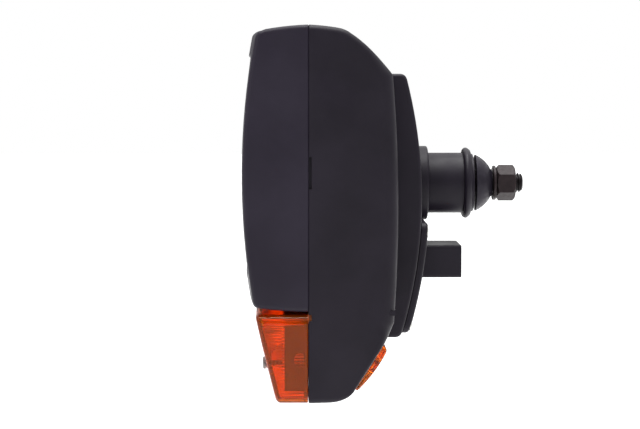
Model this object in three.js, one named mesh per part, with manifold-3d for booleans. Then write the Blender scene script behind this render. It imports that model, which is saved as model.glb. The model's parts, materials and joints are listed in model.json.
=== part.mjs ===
// A combination headlamp for a work vehicle: headlamp above, direction indicators front and rear below,
// carried on an M12 ball stud. Millimetres, +Z up, +X towards the back of the lamp, Y across it.
// Every piece is laid out from the seam between bezel and housing (x = 0) and the stud's axis (y = z = 0).
// The whole lamp is then moved so that the origin lies on that axis where the vehicle's bracket sits.
import * as THREE from "three";
import { mergeVertices } from "three/addons/utils/BufferGeometryUtils.js";
import Module from "manifold-3d";

const wasm = await Module();
wasm.setup();

// Driving dimensions of the body
const HALF_WIDTH = 103; // half the width across the lamp
const TOP = 94; // housing's top edge at the seam, above the stud
const BOTTOM = -119.8; // housing's lowest edge
const WALL = 2.5; // moulded wall
const GAP = 0.3; // between pieces that touch
const EDGE_ROUND = 5; // rounding of the long side edges

// Bezel and lens
const BEZEL_FRONT = -37; // bezel's front edge at its sides
const BEZEL_BOTTOM = -67.4;
const FRONT_BOW = 3.5; // how far the middle stands ahead of the sides
const FRONT_CENTRE_Z = 7.6; // height of the front's foremost point
const FRONT_RADIUS = 425; // side-view radius of the front
const BEZEL_FACE = 3.2; // thickness of the bezel's front wall
const WINDOW = { halfWidth: 90, low: -49, high: 76, corner: 10 };
const LENS_MARGIN = 3; // lens edge hidden behind the bezel
const LENS_THICK = 3.2;

// Raised rear panel, and the cover on its lower half
const PANEL_HALF_WIDTH = 62;
const PANEL_APEX = 66.5; // rearmost point of the panel's face
const PANEL_APEX_Z = -6;
const PANEL_RADIUS = 270;
const PANEL_LOW = -87.2;
const PANEL_HIGH = 66.5;
const COVER = { halfWidth: 57, low: -85.5, high: -20.5, corner: 5, rise: 4.7, seal: 1 };
const ACCESS = { halfWidth: 46, low: -75, high: -30, corner: 6 };

// Connector block on the cover
const PLUG = { halfWidth: 19, low: -56.4, high: -36.9, end: 93.4, wall: 2, floor: 76, corner: 1.5 };
const PIN = { width: 2.8, thick: 0.8, from: 64, to: 90, pitch: 9, row: 3.6 };

// Ball joint and stud
const BALL_X = 56;
const BALL_R = 13;
const BALL_GAP = 0.6; // all round the ball and round the cups
const CUP_THICK = 2.9;
const SEAT_R = BALL_R + CUP_THICK + 2 * BALL_GAP; // spherical seat of the cups
const BOSS_R = 22.5;
const BOSS_END = 73.5;
const BOSS_MOUTH_R = 20.9;
const STUD_R = 6; // M12
const STUD_END = 131.9;
const NECK_R = 7;
const SLEEVE = { from: 70, to: 97, radius: 18.35 };
const RING = { from: 94.9, to: 101.3, radius: 21.5 };
const DOME = { base: 102.7, end: 113, radius: 18.6, centre: 95.8, baseR: 17.25, endR: 8.3 };
const SPRING_WASHER = { from: 113.3, to: 115.7, radius: 10.55 };
const NUT = { from: 116, to: 127.2, flats: 19 };

// Reflector, its bulb and its aim
const BEAM_Z = 14; // height of the beam's axis
const VERTEX_X = 22; // deepest point of the reflector
const FOCAL = 28;
const REFLECTOR = { front: -21, halfWidth: 89, halfHeight: 58, wall: 2 };
const BULB_HOLE_R = 19;
const COLLAR = { radius: 25, front: 15, back: 23 };
const POSITION_Z = -24; // height of the position lamp
const POSITION_BOSS_END = 17.5;
const PIVOT = { x: 8, radius: 2.3, hole: 2.6 };
const AIM = { y: 40, z: 52, nutX: 11, radius: 2.5 };

// Indicators
const DIVIDE_Z = -67; // wall between the headlamp and the indicator chambers
const FRONT_LAMP = { top: -68.9, bottom: -119.3, x: -30.3, rake: 0.25, bow: 6, wall: 2.5 };
const BOW_FADE = 15; // height below its top edge over which the front indicator's bow comes in
const FRONT_BULB = { y: -45, z: -100 };
const FRONT_SCREW_Z = -100;
const SLOPE = { low: [25.3, -113.2], high: [41, -88.4] }; // housing's lower rear slope, as (x, z)
const REAR_LAMP = { halfWidth: 68, low: -16.5, high: 14.3, rise: 7.6, screwSeat: 4.2 };
const REAR_BULB_Y = 37;

// Materials
const finish = (color, roughness, metalness = 0, opacity = 1) =>
  new THREE.MeshStandardMaterial({ color, roughness, metalness, opacity, transparent: opacity < 1 });
const blackPlastic = finish(0x2c2930, 0.6);
const bezelPlastic = finish(0x332f38, 0.55);
const rubber = finish(0x1c1b1e, 0.9);
const clearGlass = finish(0xe8eef2, 0.05, 0, 0.35);
const amberPlastic = finish(0xc94c15, 0.2, 0, 0.75);
const mirror = finish(0xd8dadd, 0.12, 1);
const blackSteel = finish(0x332b2d, 0.45, 0.7);
const zincSteel = finish(0xb5b6b0, 0.4, 0.9);
const brass = finish(0xc8a24a, 0.35, 0.9);
const nylon = finish(0xd9d5c6, 0.5);

// ---- Solids and booleans ----

// A closed geometry as a solid, turned inside out first where its faces point inwards.
function solid(geometry) {
  const bare = (geometry.index ? geometry.toNonIndexed() : geometry).clone();
  bare.deleteAttribute("normal");
  bare.deleteAttribute("uv");
  const merged = mergeVertices(bare, 1e-3);
  const make = (triVerts) =>
    new wasm.Manifold(
      new wasm.Mesh({ numProp: 3, vertProperties: merged.attributes.position.array, triVerts }),
    );
  const triangles = new Uint32Array(merged.index.array);
  const made = make(triangles);
  return made.volume() >= 0 ? made : make(triangles.reverse());
}

const joined = (first, ...others) => others.reduce((sum, other) => sum.add(other), first);
const cut = (first, ...tools) => tools.reduce((rest, tool) => rest.subtract(tool), first);
const common = (first, ...others) => others.reduce((part, other) => part.intersect(other), first);

// ---- Shapes ----

function polygon(points) {
  return new THREE.Shape(points.map(([u, v]) => new THREE.Vector2(u, v)));
}

const circle = (u, v, radius) => new THREE.Shape().absarc(u, v, radius, 0, 2 * Math.PI);

function roundedRectangle(u0, u1, v0, v1, radius) {
  const shape = new THREE.Shape();
  shape.moveTo(u0 + radius, v0);
  shape.lineTo(u1 - radius, v0);
  shape.absarc(u1 - radius, v0 + radius, radius, -Math.PI / 2, 0);
  shape.absarc(u1 - radius, v1 - radius, radius, 0, Math.PI / 2);
  shape.absarc(u0 + radius, v1 - radius, radius, Math.PI / 2, Math.PI);
  shape.absarc(u0 + radius, v0 + radius, radius, Math.PI, 1.5 * Math.PI);
  return shape;
}

// A side-view outline (x, z) drawn across the lamp, with its long edges rounded by round.
function across(shape, halfWidth, round = 0, y = 0, bevelSegments = 2, curveSegments = 6) {
  const rounding = { bevelThickness: round, bevelSize: round, bevelOffset: -round, bevelSegments };
  const geometry = new THREE.ExtrudeGeometry(shape, {
    depth: 2 * (halfWidth - round),
    curveSegments,
    bevelEnabled: round > 0,
    ...rounding,
  });
  geometry.rotateX(Math.PI / 2);
  geometry.translate(0, halfWidth - round + y, 0);
  return solid(geometry);
}

// A rear-view outline (y, z) drawn along the lamp from one x to another.
const ALONG_X = new THREE.Matrix4().makeBasis(
  new THREE.Vector3(0, 1, 0),
  new THREE.Vector3(0, 0, 1),
  new THREE.Vector3(1, 0, 0),
);
function along(shape, from, to, curveSegments = 2) {
  const geometry = new THREE.ExtrudeGeometry(shape, {
    depth: to - from,
    curveSegments,
    bevelEnabled: false,
  });
  geometry.applyMatrix4(ALONG_X);
  geometry.translate(from, 0, 0);
  return solid(geometry);
}

// A profile of [x, radius] points turned about the X axis, then moved to (y, z).
function turned(profile, segments = 16, y = 0, z = 0) {
  const points = profile.map(([x, r]) => new THREE.Vector2(r, x));
  const [first, last] = [points[0], points[points.length - 1]];
  if (first.x > 0 || last.x > 0) points.push(first.clone());
  const geometry = new THREE.LatheGeometry(points, segments);
  geometry.rotateZ(-Math.PI / 2);
  geometry.translate(0, y, z);
  return solid(geometry);
}

const rod = (from, to, radius, segments = 12, y = 0, z = 0) =>
  turned([[from, 0], [from, radius], [to, radius], [to, 0]], segments, y, z);

function box(x0, x1, y0, y1, z0, z1) {
  const geometry = new THREE.BoxGeometry(x1 - x0, y1 - y0, z1 - z0);
  geometry.translate((x0 + x1) / 2, (y0 + y1) / 2, (z0 + z1) / 2);
  return solid(geometry);
}

// The closed block between two surfaces x = front(y, z) and x = back(y, z).
function between(front, back, halfWidth, low, high, columns = 8, rows = 6) {
  const positions = [];
  const index = [];
  const at = (side, column, row) => (side * (rows + 1) + row) * (columns + 1) + column;
  for (const surface of [front, back])
    for (let row = 0; row <= rows; row++)
      for (let column = 0; column <= columns; column++) {
        const y = halfWidth * ((2 * column) / columns - 1);
        const z = low + ((high - low) * row) / rows;
        positions.push(surface(y, z), y, z);
      }
  const quad = (a, b, c, d) => index.push(a, b, c, a, c, d);
  for (let row = 0; row < rows; row++)
    for (let column = 0; column < columns; column++) {
      quad(at(0, column, row), at(0, column, row + 1), at(0, column + 1, row + 1), at(0, column + 1, row));
      quad(at(1, column, row), at(1, column + 1, row), at(1, column + 1, row + 1), at(1, column, row + 1));
    }
  for (let row = 0; row < rows; row++) {
    quad(at(0, 0, row), at(1, 0, row), at(1, 0, row + 1), at(0, 0, row + 1));
    quad(at(0, columns, row), at(0, columns, row + 1), at(1, columns, row + 1), at(1, columns, row));
  }
  for (let column = 0; column < columns; column++) {
    quad(at(0, column, 0), at(0, column + 1, 0), at(1, column + 1, 0), at(1, column, 0));
    quad(at(0, column, rows), at(1, column, rows), at(1, column + 1, rows), at(0, column + 1, rows));
  }
  const geometry = new THREE.BufferGeometry();
  geometry.setAttribute("position", new THREE.Float32BufferAttribute(positions, 3));
  geometry.setIndex(index);
  return solid(geometry);
}

// Points on a circle about (x, 0) in the plane of a turned profile, angles in degrees from +X.
function arc(centre, radius, fromDeg, toDeg, steps) {
  return Array.from({ length: steps + 1 }, (_, i) => {
    const angle = ((fromDeg + ((toDeg - fromDeg) * i) / steps) * Math.PI) / 180;
    return [centre + radius * Math.cos(angle), radius * Math.sin(angle)];
  });
}

// An outline moved inwards by distance; its points run anticlockwise.
function inset(points, distance) {
  const unit = ([x0, z0], [x1, z1]) => {
    const length = Math.hypot(x1 - x0, z1 - z0);
    return [-(z1 - z0) / length, (x1 - x0) / length];
  };
  return points.map((point, i) => {
    const before = unit(points[(i + points.length - 1) % points.length], point);
    const after = unit(point, points[(i + 1) % points.length]);
    const scale = distance / (1 + before[0] * after[0] + before[1] * after[1]);
    return [point[0] + (before[0] + after[0]) * scale, point[1] + (before[1] + after[1]) * scale];
  });
}

// ---- The body's surfaces ----

const panelFace = (z) => PANEL_APEX - (z - PANEL_APEX_Z) ** 2 / (2 * PANEL_RADIUS);
const bezelFace = (y, z) =>
  BEZEL_FRONT - FRONT_BOW * (1 - (y / HALF_WIDTH) ** 2) + (z - FRONT_CENTRE_Z) ** 2 / (2 * FRONT_RADIUS);

// The front indicator leans back towards its foot, and bows across except along its top edge.
function indicatorFace(y, z) {
  const drop = FRONT_LAMP.top - z;
  const bow = FRONT_LAMP.bow * Math.min(Math.max(drop / BOW_FADE, 0), 1);
  return FRONT_LAMP.x + drop * FRONT_LAMP.rake - bow * (1 - (y / HALF_WIDTH) ** 2);
}

// Side view of the housing, from the bottom edge round the back to the top. It starts ahead of the seam.
function housingOutline() {
  const shape = new THREE.Shape();
  shape.moveTo(-20, BOTTOM);
  shape.lineTo(12, BOTTOM + 0.7);
  shape.quadraticCurveTo(21, BOTTOM + 1.4, ...SLOPE.low);
  shape.lineTo(...SLOPE.high);
  shape.quadraticCurveTo(45.5, -82, 48.5, -74);
  shape.quadraticCurveTo(53.5, -4, 47.5, 66);
  shape.quadraticCurveTo(34.5, 82.3, 23.7, 89.2);
  shape.quadraticCurveTo(20.6, 91.6, 16, 92.3);
  shape.lineTo(-20, TOP + 2);
  return shape.getPoints(4).map((p) => [p.x, p.y]);
}

// Side view of the raised rear panel, or of a layer that lies on it between two offsets.
function panelLayer(low, high, inner, outer, steps = 5) {
  const heights = Array.from({ length: steps + 1 }, (_, i) => low + ((high - low) * i) / steps);
  const back = heights.map((z) => [panelFace(z) + outer, z]);
  const front = heights.map((z) => [panelFace(z) + inner, z]).reverse();
  return polygon([...back, ...front]);
}

function panelOutline() {
  const low = PANEL_LOW + 1.5;
  const high = PANEL_HIGH - 4;
  const shape = new THREE.Shape();
  shape.moveTo(20, PANEL_LOW);
  shape.lineTo(panelFace(low) - 4, PANEL_LOW);
  shape.quadraticCurveTo(panelFace(low) - 0.5, PANEL_LOW, panelFace(low + 3), low + 3);
  for (let z = low + 15; z < high; z += 15) shape.lineTo(panelFace(z), z);
  shape.lineTo(panelFace(high), high);
  shape.quadraticCurveTo(panelFace(high) - 0.5, PANEL_HIGH, panelFace(high) - 4, PANEL_HIGH);
  shape.lineTo(20, PANEL_HIGH + 1);
  return shape.getPoints(3).map((p) => [p.x, p.y]);
}

// ---- Group and nodes ----

const lamp = new THREE.Group();

function add(name, shape, material, parent = lamp) {
  const mesh3 = shape.getMesh();
  const geometry = new THREE.BufferGeometry();
  geometry.setAttribute("position", new THREE.Float32BufferAttribute(mesh3.vertProperties, 3));
  geometry.setIndex(new THREE.BufferAttribute(mesh3.triVerts, 1));
  geometry.computeVertexNormals();
  const mesh = new THREE.Mesh(geometry, material);
  mesh.name = name;
  parent.add(mesh);
  return mesh;
}

// The rear indicator is built facing +X and turned to lie on the housing's lower slope.
const rearLamp = new THREE.Group();
rearLamp.position.set((SLOPE.low[0] + SLOPE.high[0]) / 2, 0, (SLOPE.low[1] + SLOPE.high[1]) / 2);
rearLamp.rotation.y = Math.atan2(SLOPE.high[0] - SLOPE.low[0], SLOPE.high[1] - SLOPE.low[1]);
rearLamp.updateMatrix();
lamp.add(rearLamp);
const onSlope = (shape) => shape.transform(rearLamp.matrix.toArray());

// ---- Housing ----

const SCREW_SPOTS = {
  cover: [-1, 1].flatMap((side) => [COVER.low + 5, COVER.high - 5].map((z) => [side * 51.5, z])),
  retainer: [-1, 1].map((side) => [side * 25.5, 0]),
  front: [-72, 72],
  rear: [-60, 60],
};

// The opening behind the cover that the bulbs are changed through.
function accessHole(from, to) {
  const { halfWidth, low, high, corner } = ACCESS;
  return along(roundedRectangle(-halfWidth, halfWidth, low, high, corner), from, to);
}

function ballSocket() {
  const bore = turned(
    [
      [49, 0],
      [49, SEAT_R + 0.2],
      [BALL_X, SEAT_R + 0.2],
      ...arc(BALL_X, SEAT_R, 85, 47, 4),
      [67.5, BOSS_MOUTH_R],
      [BOSS_END + 1, BOSS_MOUTH_R],
      [BOSS_END + 1, 0],
    ],
    24,
  );
  const body = turned(
    [
      [50, 0],
      [50, 30],
      [56, 30],
      [58, BOSS_R],
      [BOSS_END - 3, BOSS_R],
      [BOSS_END, BOSS_R - 0.6],
      [BOSS_END, 0],
    ],
    24,
  );
  const screwHoles = SCREW_SPOTS.retainer.map(([y, z]) => rod(49, 57.5, 2.3, 10, y, z));
  return { bore, body, screwHoles };
}

function rearHousing() {
  const side = housingOutline();
  const panel = panelOutline();
  const outer = joined(
    across(polygon(side), HALF_WIDTH, EDGE_ROUND),
    across(polygon(panel), PANEL_HALF_WIDTH, 3),
  );
  const inner = joined(
    across(polygon(inset(side, WALL)), HALF_WIDTH - WALL, EDGE_ROUND - WALL, 0, 1),
    across(polygon(inset(panel, WALL)), PANEL_HALF_WIDTH - WALL),
  );
  const socket = ballSocket();
  const dividingWall = common(
    box(0, 70, -HALF_WIDTH + 1, HALF_WIDTH - 1, DIVIDE_Z - WALL, DIVIDE_Z),
    outer,
  );
  const pillars = SCREW_SPOTS.front.map((y) => common(rod(2.5, 45, 4, 10, y, FRONT_SCREW_Z), outer));
  const shell = joined(cut(outer, inner), dividingWall, ...pillars, socket.body);
  const slopeHole = onSlope(box(-6, 6, -52, 52, -9, 9));
  const prySlots = [-1, 1].map((side) =>
    box(-1, 1.8, side * HALF_WIDTH - 1.2, side * HALF_WIDTH + 1.2, 2, 20),
  );
  return cut(
    shell,
    box(-40, 0, -HALF_WIDTH - 1, HALF_WIDTH + 1, BOTTOM - 5, TOP + 5),
    socket.bore,
    ...socket.screwHoles,
    accessHole(56, 80),
    slopeHole,
    ...prySlots,
    box(26, 36, -6, 6, DIVIDE_Z - WALL - 1, DIVIDE_Z + 1),
    rod(50, 70, AIM.radius + 0.8, 14, AIM.y, AIM.z),
    ...SCREW_SPOTS.cover.map(([y, z]) => rod(50, 75, 2.3, 10, y, z)),
    ...SCREW_SPOTS.front.map((y) => rod(1, 14, 2.3, 10, y, FRONT_SCREW_Z)),
    ...SCREW_SPOTS.rear.map((y) => onSlope(rod(-8, 4, 1.8, 10, y, 0))),
  );
}

// ---- Bezel, lens and seals ----

function frontBezel() {
  const outline = new THREE.Shape();
  outline.moveTo(15, BEZEL_BOTTOM - 0.5);
  outline.lineTo(-22, BEZEL_BOTTOM + 1);
  outline.lineTo(-30, BEZEL_BOTTOM + 2.8);
  outline.lineTo(-33, BEZEL_BOTTOM + 6);
  outline.lineTo(-50, BEZEL_BOTTOM + 25);
  outline.lineTo(-50, TOP - 22);
  outline.lineTo(-31, TOP - 4);
  outline.quadraticCurveTo(-15, TOP - 0.6, 0, TOP);
  outline.lineTo(15, TOP + 0.2);
  const body = common(
    across(polygon(outline.getPoints(4).map((p) => [p.x, p.y])), HALF_WIDTH, EDGE_ROUND - 2),
    between(bezelFace, () => 0, HALF_WIDTH, BEZEL_BOTTOM - 1, TOP + 2),
  );
  const hollow = common(
    between((y, z) => bezelFace(y, z) + BEZEL_FACE, () => 1, HALF_WIDTH, BEZEL_BOTTOM, TOP),
    along(
      roundedRectangle(
        -HALF_WIDTH + WALL + 0.5,
        HALF_WIDTH - WALL - 0.5,
        BEZEL_BOTTOM + 5.2,
        TOP - 6.6,
        6,
      ),
      -60,
      2,
    ),
  );
  const window = along(
    roundedRectangle(-WINDOW.halfWidth, WINDOW.halfWidth, WINDOW.low, WINDOW.high, WINDOW.corner),
    -60,
    -20,
  );
  return cut(body, hollow, window);
}

// A layer that follows the bezel's front, from depth near to depth far behind it, within the window.
function behindBezel(near, far, margin) {
  return common(
    between(
      (y, z) => bezelFace(y, z) + near,
      (y, z) => bezelFace(y, z) + far,
      HALF_WIDTH,
      BEZEL_BOTTOM,
      TOP,
    ),
    along(
      roundedRectangle(
        -WINDOW.halfWidth - margin,
        WINDOW.halfWidth + margin,
        WINDOW.low - margin,
        WINDOW.high + margin,
        WINDOW.corner + margin,
      ),
      -60,
      0,
    ),
  );
}

function lensSeal() {
  const near = BEZEL_FACE + LENS_THICK + 2 * GAP;
  return cut(behindBezel(near, near + 2, LENS_MARGIN), behindBezel(near - 2, near + 4, LENS_MARGIN - 5));
}

function seamSeal() {
  const low = BEZEL_BOTTOM + 5.4;
  const high = TOP - 6.9;
  const ring = (margin) =>
    roundedRectangle(
      -HALF_WIDTH + WALL + 0.8 + margin,
      HALF_WIDTH - WALL - 0.8 - margin,
      low + margin,
      high - margin,
      5.5 - margin,
    );
  return cut(along(ring(0), -3, 1.6), along(ring(2), -4, 3));
}

// ---- Reflector unit ----

function bowl(offset) {
  const rim = Math.sqrt(4 * FOCAL * (VERTEX_X + offset - REFLECTOR.front + 6));
  const steps = 6;
  const profile = Array.from({ length: steps + 1 }, (_, i) => {
    const radius = (rim * i) / steps;
    return [VERTEX_X + offset - radius ** 2 / (4 * FOCAL), radius];
  });
  return turned([...profile, [REFLECTOR.front - 6 + offset, 0]], 24, 0, BEAM_Z);
}

function reflectorShell() {
  const { front, halfWidth, halfHeight, wall } = REFLECTOR;
  const block = (reduce, x0, x1) => {
    const [wide, tall] = [halfWidth - reduce, halfHeight - reduce];
    return box(x0, x1, -wide, wide, BEAM_Z - tall, BEAM_Z + tall);
  };
  const flange = block(0, front, front + wall);
  const bowlBody = common(bowl(wall), block(0, front, 40));
  const hollow = common(bowl(0), block(wall, front - 1, 40));
  const collar = rod(COLLAR.front, COLLAR.back, COLLAR.radius, 24, 0, BEAM_Z);
  const positionBoss = rod(2, POSITION_BOSS_END, 10, 12, 0, POSITION_Z);
  const ears = [-1, 1].map((side) =>
    cut(
      box(front, PIVOT.x + 6, side * 90.8 - 2.3, side * 90.8 + 2.3, BEAM_Z - 6, BEAM_Z + 6),
      across(circle(PIVOT.x, BEAM_Z, PIVOT.hole), 100),
    ),
  );
  const lug = cut(
    box(AIM.nutX - 7, AIM.nutX + 7, AIM.y - 7.5, AIM.y + 7.5, AIM.z - 7.5, AIM.z + 7),
    box(AIM.nutX - 3.9, AIM.nutX + 3.9, AIM.y - 4.9, AIM.y + 4.9, AIM.z - 4.9, AIM.z + 10),
    rod(-5, 30, AIM.radius + 0.9, 14, AIM.y, AIM.z),
  );
  const web = box(-16, AIM.nutX - 6, AIM.y - 2, AIM.y + 2, AIM.z - 18, AIM.z - 3.6);
  return cut(
    joined(flange, bowlBody, collar, positionBoss, ...ears, lug, web),
    hollow,
    rod(-5, 40, BULB_HOLE_R, 24, 0, BEAM_Z),
    rod(-20, 40, 7, 12, 0, POSITION_Z),
  );
}

function addReflectorUnit() {
  add("reflector", reflectorShell(), mirror);
  add(
    "headlamp_bulb_base",
    turned(
      [
        [COLLAR.back + GAP, 0],
        [COLLAR.back + GAP, 21.5],
        [COLLAR.back + 1.8, 21.5],
        [COLLAR.back + 1.8, 11],
        [COLLAR.back + 9, 11],
        [COLLAR.back + 9.8, 10],
        [COLLAR.back + 9.8, 0],
      ],
      24,
      0,
      BEAM_Z,
    ),
    zincSteel,
  );
  add(
    "headlamp_bulb_glass",
    turned([[COLLAR.back, 0], [COLLAR.back, 8], [-9, 8], ...arc(-9, 8, 112, 180, 3)], 16, 0, BEAM_Z),
    clearGlass,
  );
  const clipWire = new THREE.TorusGeometry(17.5, 0.8, 6, 20);
  clipWire.rotateY(Math.PI / 2);
  clipWire.translate(COLLAR.back + 3, 0, BEAM_Z);
  add("headlamp_bulb_clip", solid(clipWire), zincSteel);
  add(
    "bulb_boot",
    turned(
      [
        [COLLAR.back - 4, COLLAR.radius + GAP],
        [COLLAR.back - 4, COLLAR.radius + 2.5],
        [COLLAR.back + 5, COLLAR.radius + 2.5],
        [COLLAR.back + 9, 17],
        [COLLAR.back + 14, 13],
        [COLLAR.back + 14, 5],
        [COLLAR.back + 11.5, 5],
        [COLLAR.back + 11.5, 13],
        [COLLAR.back + 4, COLLAR.radius - 2],
        [COLLAR.back + GAP, COLLAR.radius + GAP],
      ],
      24,
      0,
      BEAM_Z,
    ),
    rubber,
  );
  add(
    "position_lamp_holder",
    turned(
      [
        [5, 0],
        [5, 6.6],
        [POSITION_BOSS_END + GAP, 6.6],
        [POSITION_BOSS_END + GAP, 9],
        [POSITION_BOSS_END + 3, 9],
        [POSITION_BOSS_END + 3, 7],
        [POSITION_BOSS_END + 9, 7],
        [POSITION_BOSS_END + 9, 0],
      ],
      12,
      0,
      POSITION_Z,
    ),
    nylon,
  );
  add(
    "position_lamp_bulb",
    turned([[4.7, 0], [4.7, 4], [-2, 5], ...arc(-6, 5, 90, 180, 3)], 12, 0, POSITION_Z),
    clearGlass,
  );
}

function addAim() {
  const wallBack = panelFace(AIM.z);
  add(
    "aim_screw",
    turned(
      [
        [0, 0],
        [0, AIM.radius - 0.7],
        [1, AIM.radius],
        [wallBack - WALL - 4.8, AIM.radius],
        [wallBack - WALL - 4.8, 4.8],
        [wallBack - WALL - 1.4, 4.8],
        [wallBack - WALL - 1.4, AIM.radius],
        [wallBack + 1.4, AIM.radius],
        [wallBack + 1.4, 5],
        [wallBack + 4.6, 5],
        [wallBack + 4.6, 0],
      ],
      12,
      AIM.y,
      AIM.z,
    ),
    zincSteel,
  );
  const nut = box(AIM.nutX - 3.3, AIM.nutX + 3.3, AIM.y - 4.5, AIM.y + 4.5, AIM.z - 4.5, AIM.z + 4.5);
  add("aim_nut", cut(nut, rod(0, 30, AIM.radius + GAP, 14, AIM.y, AIM.z)), nylon);
  for (const [name, side] of [["reflector_pivot_left", -1], ["reflector_pivot_right", 1]]) {
    const pin = across(circle(PIVOT.x, BEAM_Z, PIVOT.radius), 5.1, 0, side * 95);
    const foot = across(circle(PIVOT.x, BEAM_Z, 6), 1.5, 0, side * 98.6);
    add(name, joined(pin, foot), nylon);
  }
}

// ---- Ball joint and stud ----

function addStud() {
  add(
    "ball_stud",
    turned(
      [
        ...arc(BALL_X, BALL_R, 180, 33, 9),
        [SLEEVE.from - GAP, NECK_R],
        [SLEEVE.from - GAP, STUD_R],
        [STUD_END - 1.5, STUD_R],
        [STUD_END, STUD_R - 1.5],
        [STUD_END, 0],
      ],
      20,
    ),
    blackSteel,
  );
  const { from, to, radius } = SLEEVE;
  const bore = STUD_R + GAP;
  add(
    "mount_sleeve",
    turned([[from, bore], [from, radius - 0.6], [from + 0.6, radius], [to, radius], [to, bore]], 24),
    blackPlastic,
  );
  add(
    "flange_ring",
    turned(
      [
        [RING.from, SLEEVE.radius + GAP],
        [RING.from + 1.2, RING.radius - 0.9],
        [RING.from + 3.1, RING.radius],
        [RING.from + 4.8, RING.radius - 0.8],
        [RING.to, RING.radius - 3],
        [RING.to, bore],
        [to + GAP, bore],
        [to + GAP, SLEEVE.radius + GAP],
      ],
      24,
    ),
    rubber,
  );
  const domeEnd = (Math.asin((DOME.endR + 1) / DOME.radius) * 180) / Math.PI;
  add(
    "domed_washer",
    turned(
      [
        [DOME.base, bore],
        [DOME.base, DOME.baseR],
        ...arc(DOME.centre, DOME.radius, 66, domeEnd, 4),
        [DOME.end, DOME.endR],
        [DOME.end, bore],
      ],
      20,
    ),
    blackSteel,
  );
  const washer = SPRING_WASHER;
  const collar = cut(
    rod(washer.from, washer.to, washer.radius, 20),
    rod(washer.from - 1, washer.to + 1, bore, 20),
  );
  const split = box(washer.from - 1, washer.to + 1, -0.5, 0.5, -12, 0);
  add("spring_washer", cut(collar, split), blackSteel);
  const cornerR = NUT.flats / Math.sqrt(3);
  const corners = Array.from({ length: 6 }, (_, i) => {
    const angle = ((30 + 60 * i) * Math.PI) / 180;
    return [cornerR * Math.cos(angle), cornerR * Math.sin(angle)];
  });
  const chamfered = turned(
    [
      [NUT.from, 0],
      [NUT.from, cornerR - 1.6],
      [NUT.from + 1, cornerR + 0.1],
      [NUT.to - 1, cornerR + 0.1],
      [NUT.to, cornerR - 1.6],
      [NUT.to, 0],
    ],
    18,
  );
  const hexagon = along(polygon(corners), NUT.from, NUT.to);
  const nutBore = rod(NUT.from - 1, NUT.to + 1, bore, 20);
  add("hex_nut", cut(common(hexagon, chamfered), nutBore), blackSteel);
}

function addBallCups() {
  const inner = BALL_R + BALL_GAP;
  const outer = inner + CUP_THICK;
  const cup = (from, to) => [...arc(BALL_X, inner, from, to, 4), ...arc(BALL_X, outer, to, from, 4)];
  add("front_ball_cup", turned(cup(150, 94), 20), nylon);
  add("rear_ball_cup", turned(cup(86, 45), 20), nylon);
  const retainer = turned(
    [
      [49.6, SEAT_R - 1.2],
      [49.6, 29],
      [46.6, 29],
      [46.6, 19],
      ...arc(BALL_X, SEAT_R + 2.1, 123, 141, 2),
      ...arc(BALL_X, SEAT_R, 148, 114, 3),
    ],
    20,
  );
  const holes = SCREW_SPOTS.retainer.map(([y, z]) => rod(40, 52, 2.3, 10, y, z));
  add("ball_retainer", cut(retainer, ...holes), zincSteel);
  SCREW_SPOTS.retainer.forEach(([y, z], i) => {
    const profile = [[43.6, 0], [43.6, 3.6], [46.3, 3.6], [46.3, 2], [56.5, 2], [57.2, 1.2], [57.2, 0]];
    add("ball_retainer_screw_" + (i + 1), turned(profile, 10, y, z), zincSteel);
  });
}

// ---- Rear cover and connector ----

function addRearCover() {
  const { halfWidth, low, high, corner, rise, seal } = COVER;
  const plate = (inner, outer, reduce) =>
    common(
      across(panelLayer(low - 2, high + 2, inner, outer), halfWidth + 1),
      along(
        roundedRectangle(-halfWidth + reduce, halfWidth - reduce, low + reduce, high - reduce, corner),
        50,
        90,
      ),
    );
  const wires = along(roundedRectangle(-15, 15, -54, -40, 2), 50, 90);
  const coverInner = GAP + seal + GAP;
  const bossClearance = rod(50, 90, BOSS_R + 0.6, 24);
  const screwHole = (y, z) => rod(50, 90, 2.3, 8, y, z);
  const headSink = (y, z) => rod(panelFace(z) + coverInner + 1.2, 90, 4.6, 12, y, z);
  add(
    "rear_cover",
    cut(
      plate(coverInner, rise, 0),
      wires,
      bossClearance,
      ...SCREW_SPOTS.cover.flatMap(([y, z]) => [screwHole(y, z), headSink(y, z)]),
    ),
    blackPlastic,
  );
  const sealHoles = SCREW_SPOTS.cover.map(([y, z]) => screwHole(y, z));
  add(
    "rear_cover_seal",
    cut(plate(GAP, GAP + seal, 1), accessHole(50, 90), bossClearance, ...sealHoles),
    rubber,
  );
  SCREW_SPOTS.cover.forEach(([y, z], i) => {
    const seat = panelFace(z) + coverInner + 1.2 + GAP + 0.5;
    const shank = [[seat - 14, 0], [seat - 14, 1.2], [seat - 13, 2], [seat, 2]];
    const head = [[seat, 4.2], [seat + 1.4, 3.8], [seat + 1.6, 0]];
    add("rear_cover_screw_" + (i + 1), turned([...shank, ...head], 8, y, z), zincSteel);
  });
}

const PIN_SPOTS = [-1, 0, 1].flatMap((column) =>
  [-1, 1].map((row) => [column * PIN.pitch, (PLUG.low + PLUG.high) / 2 + row * PIN.row]),
);

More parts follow.
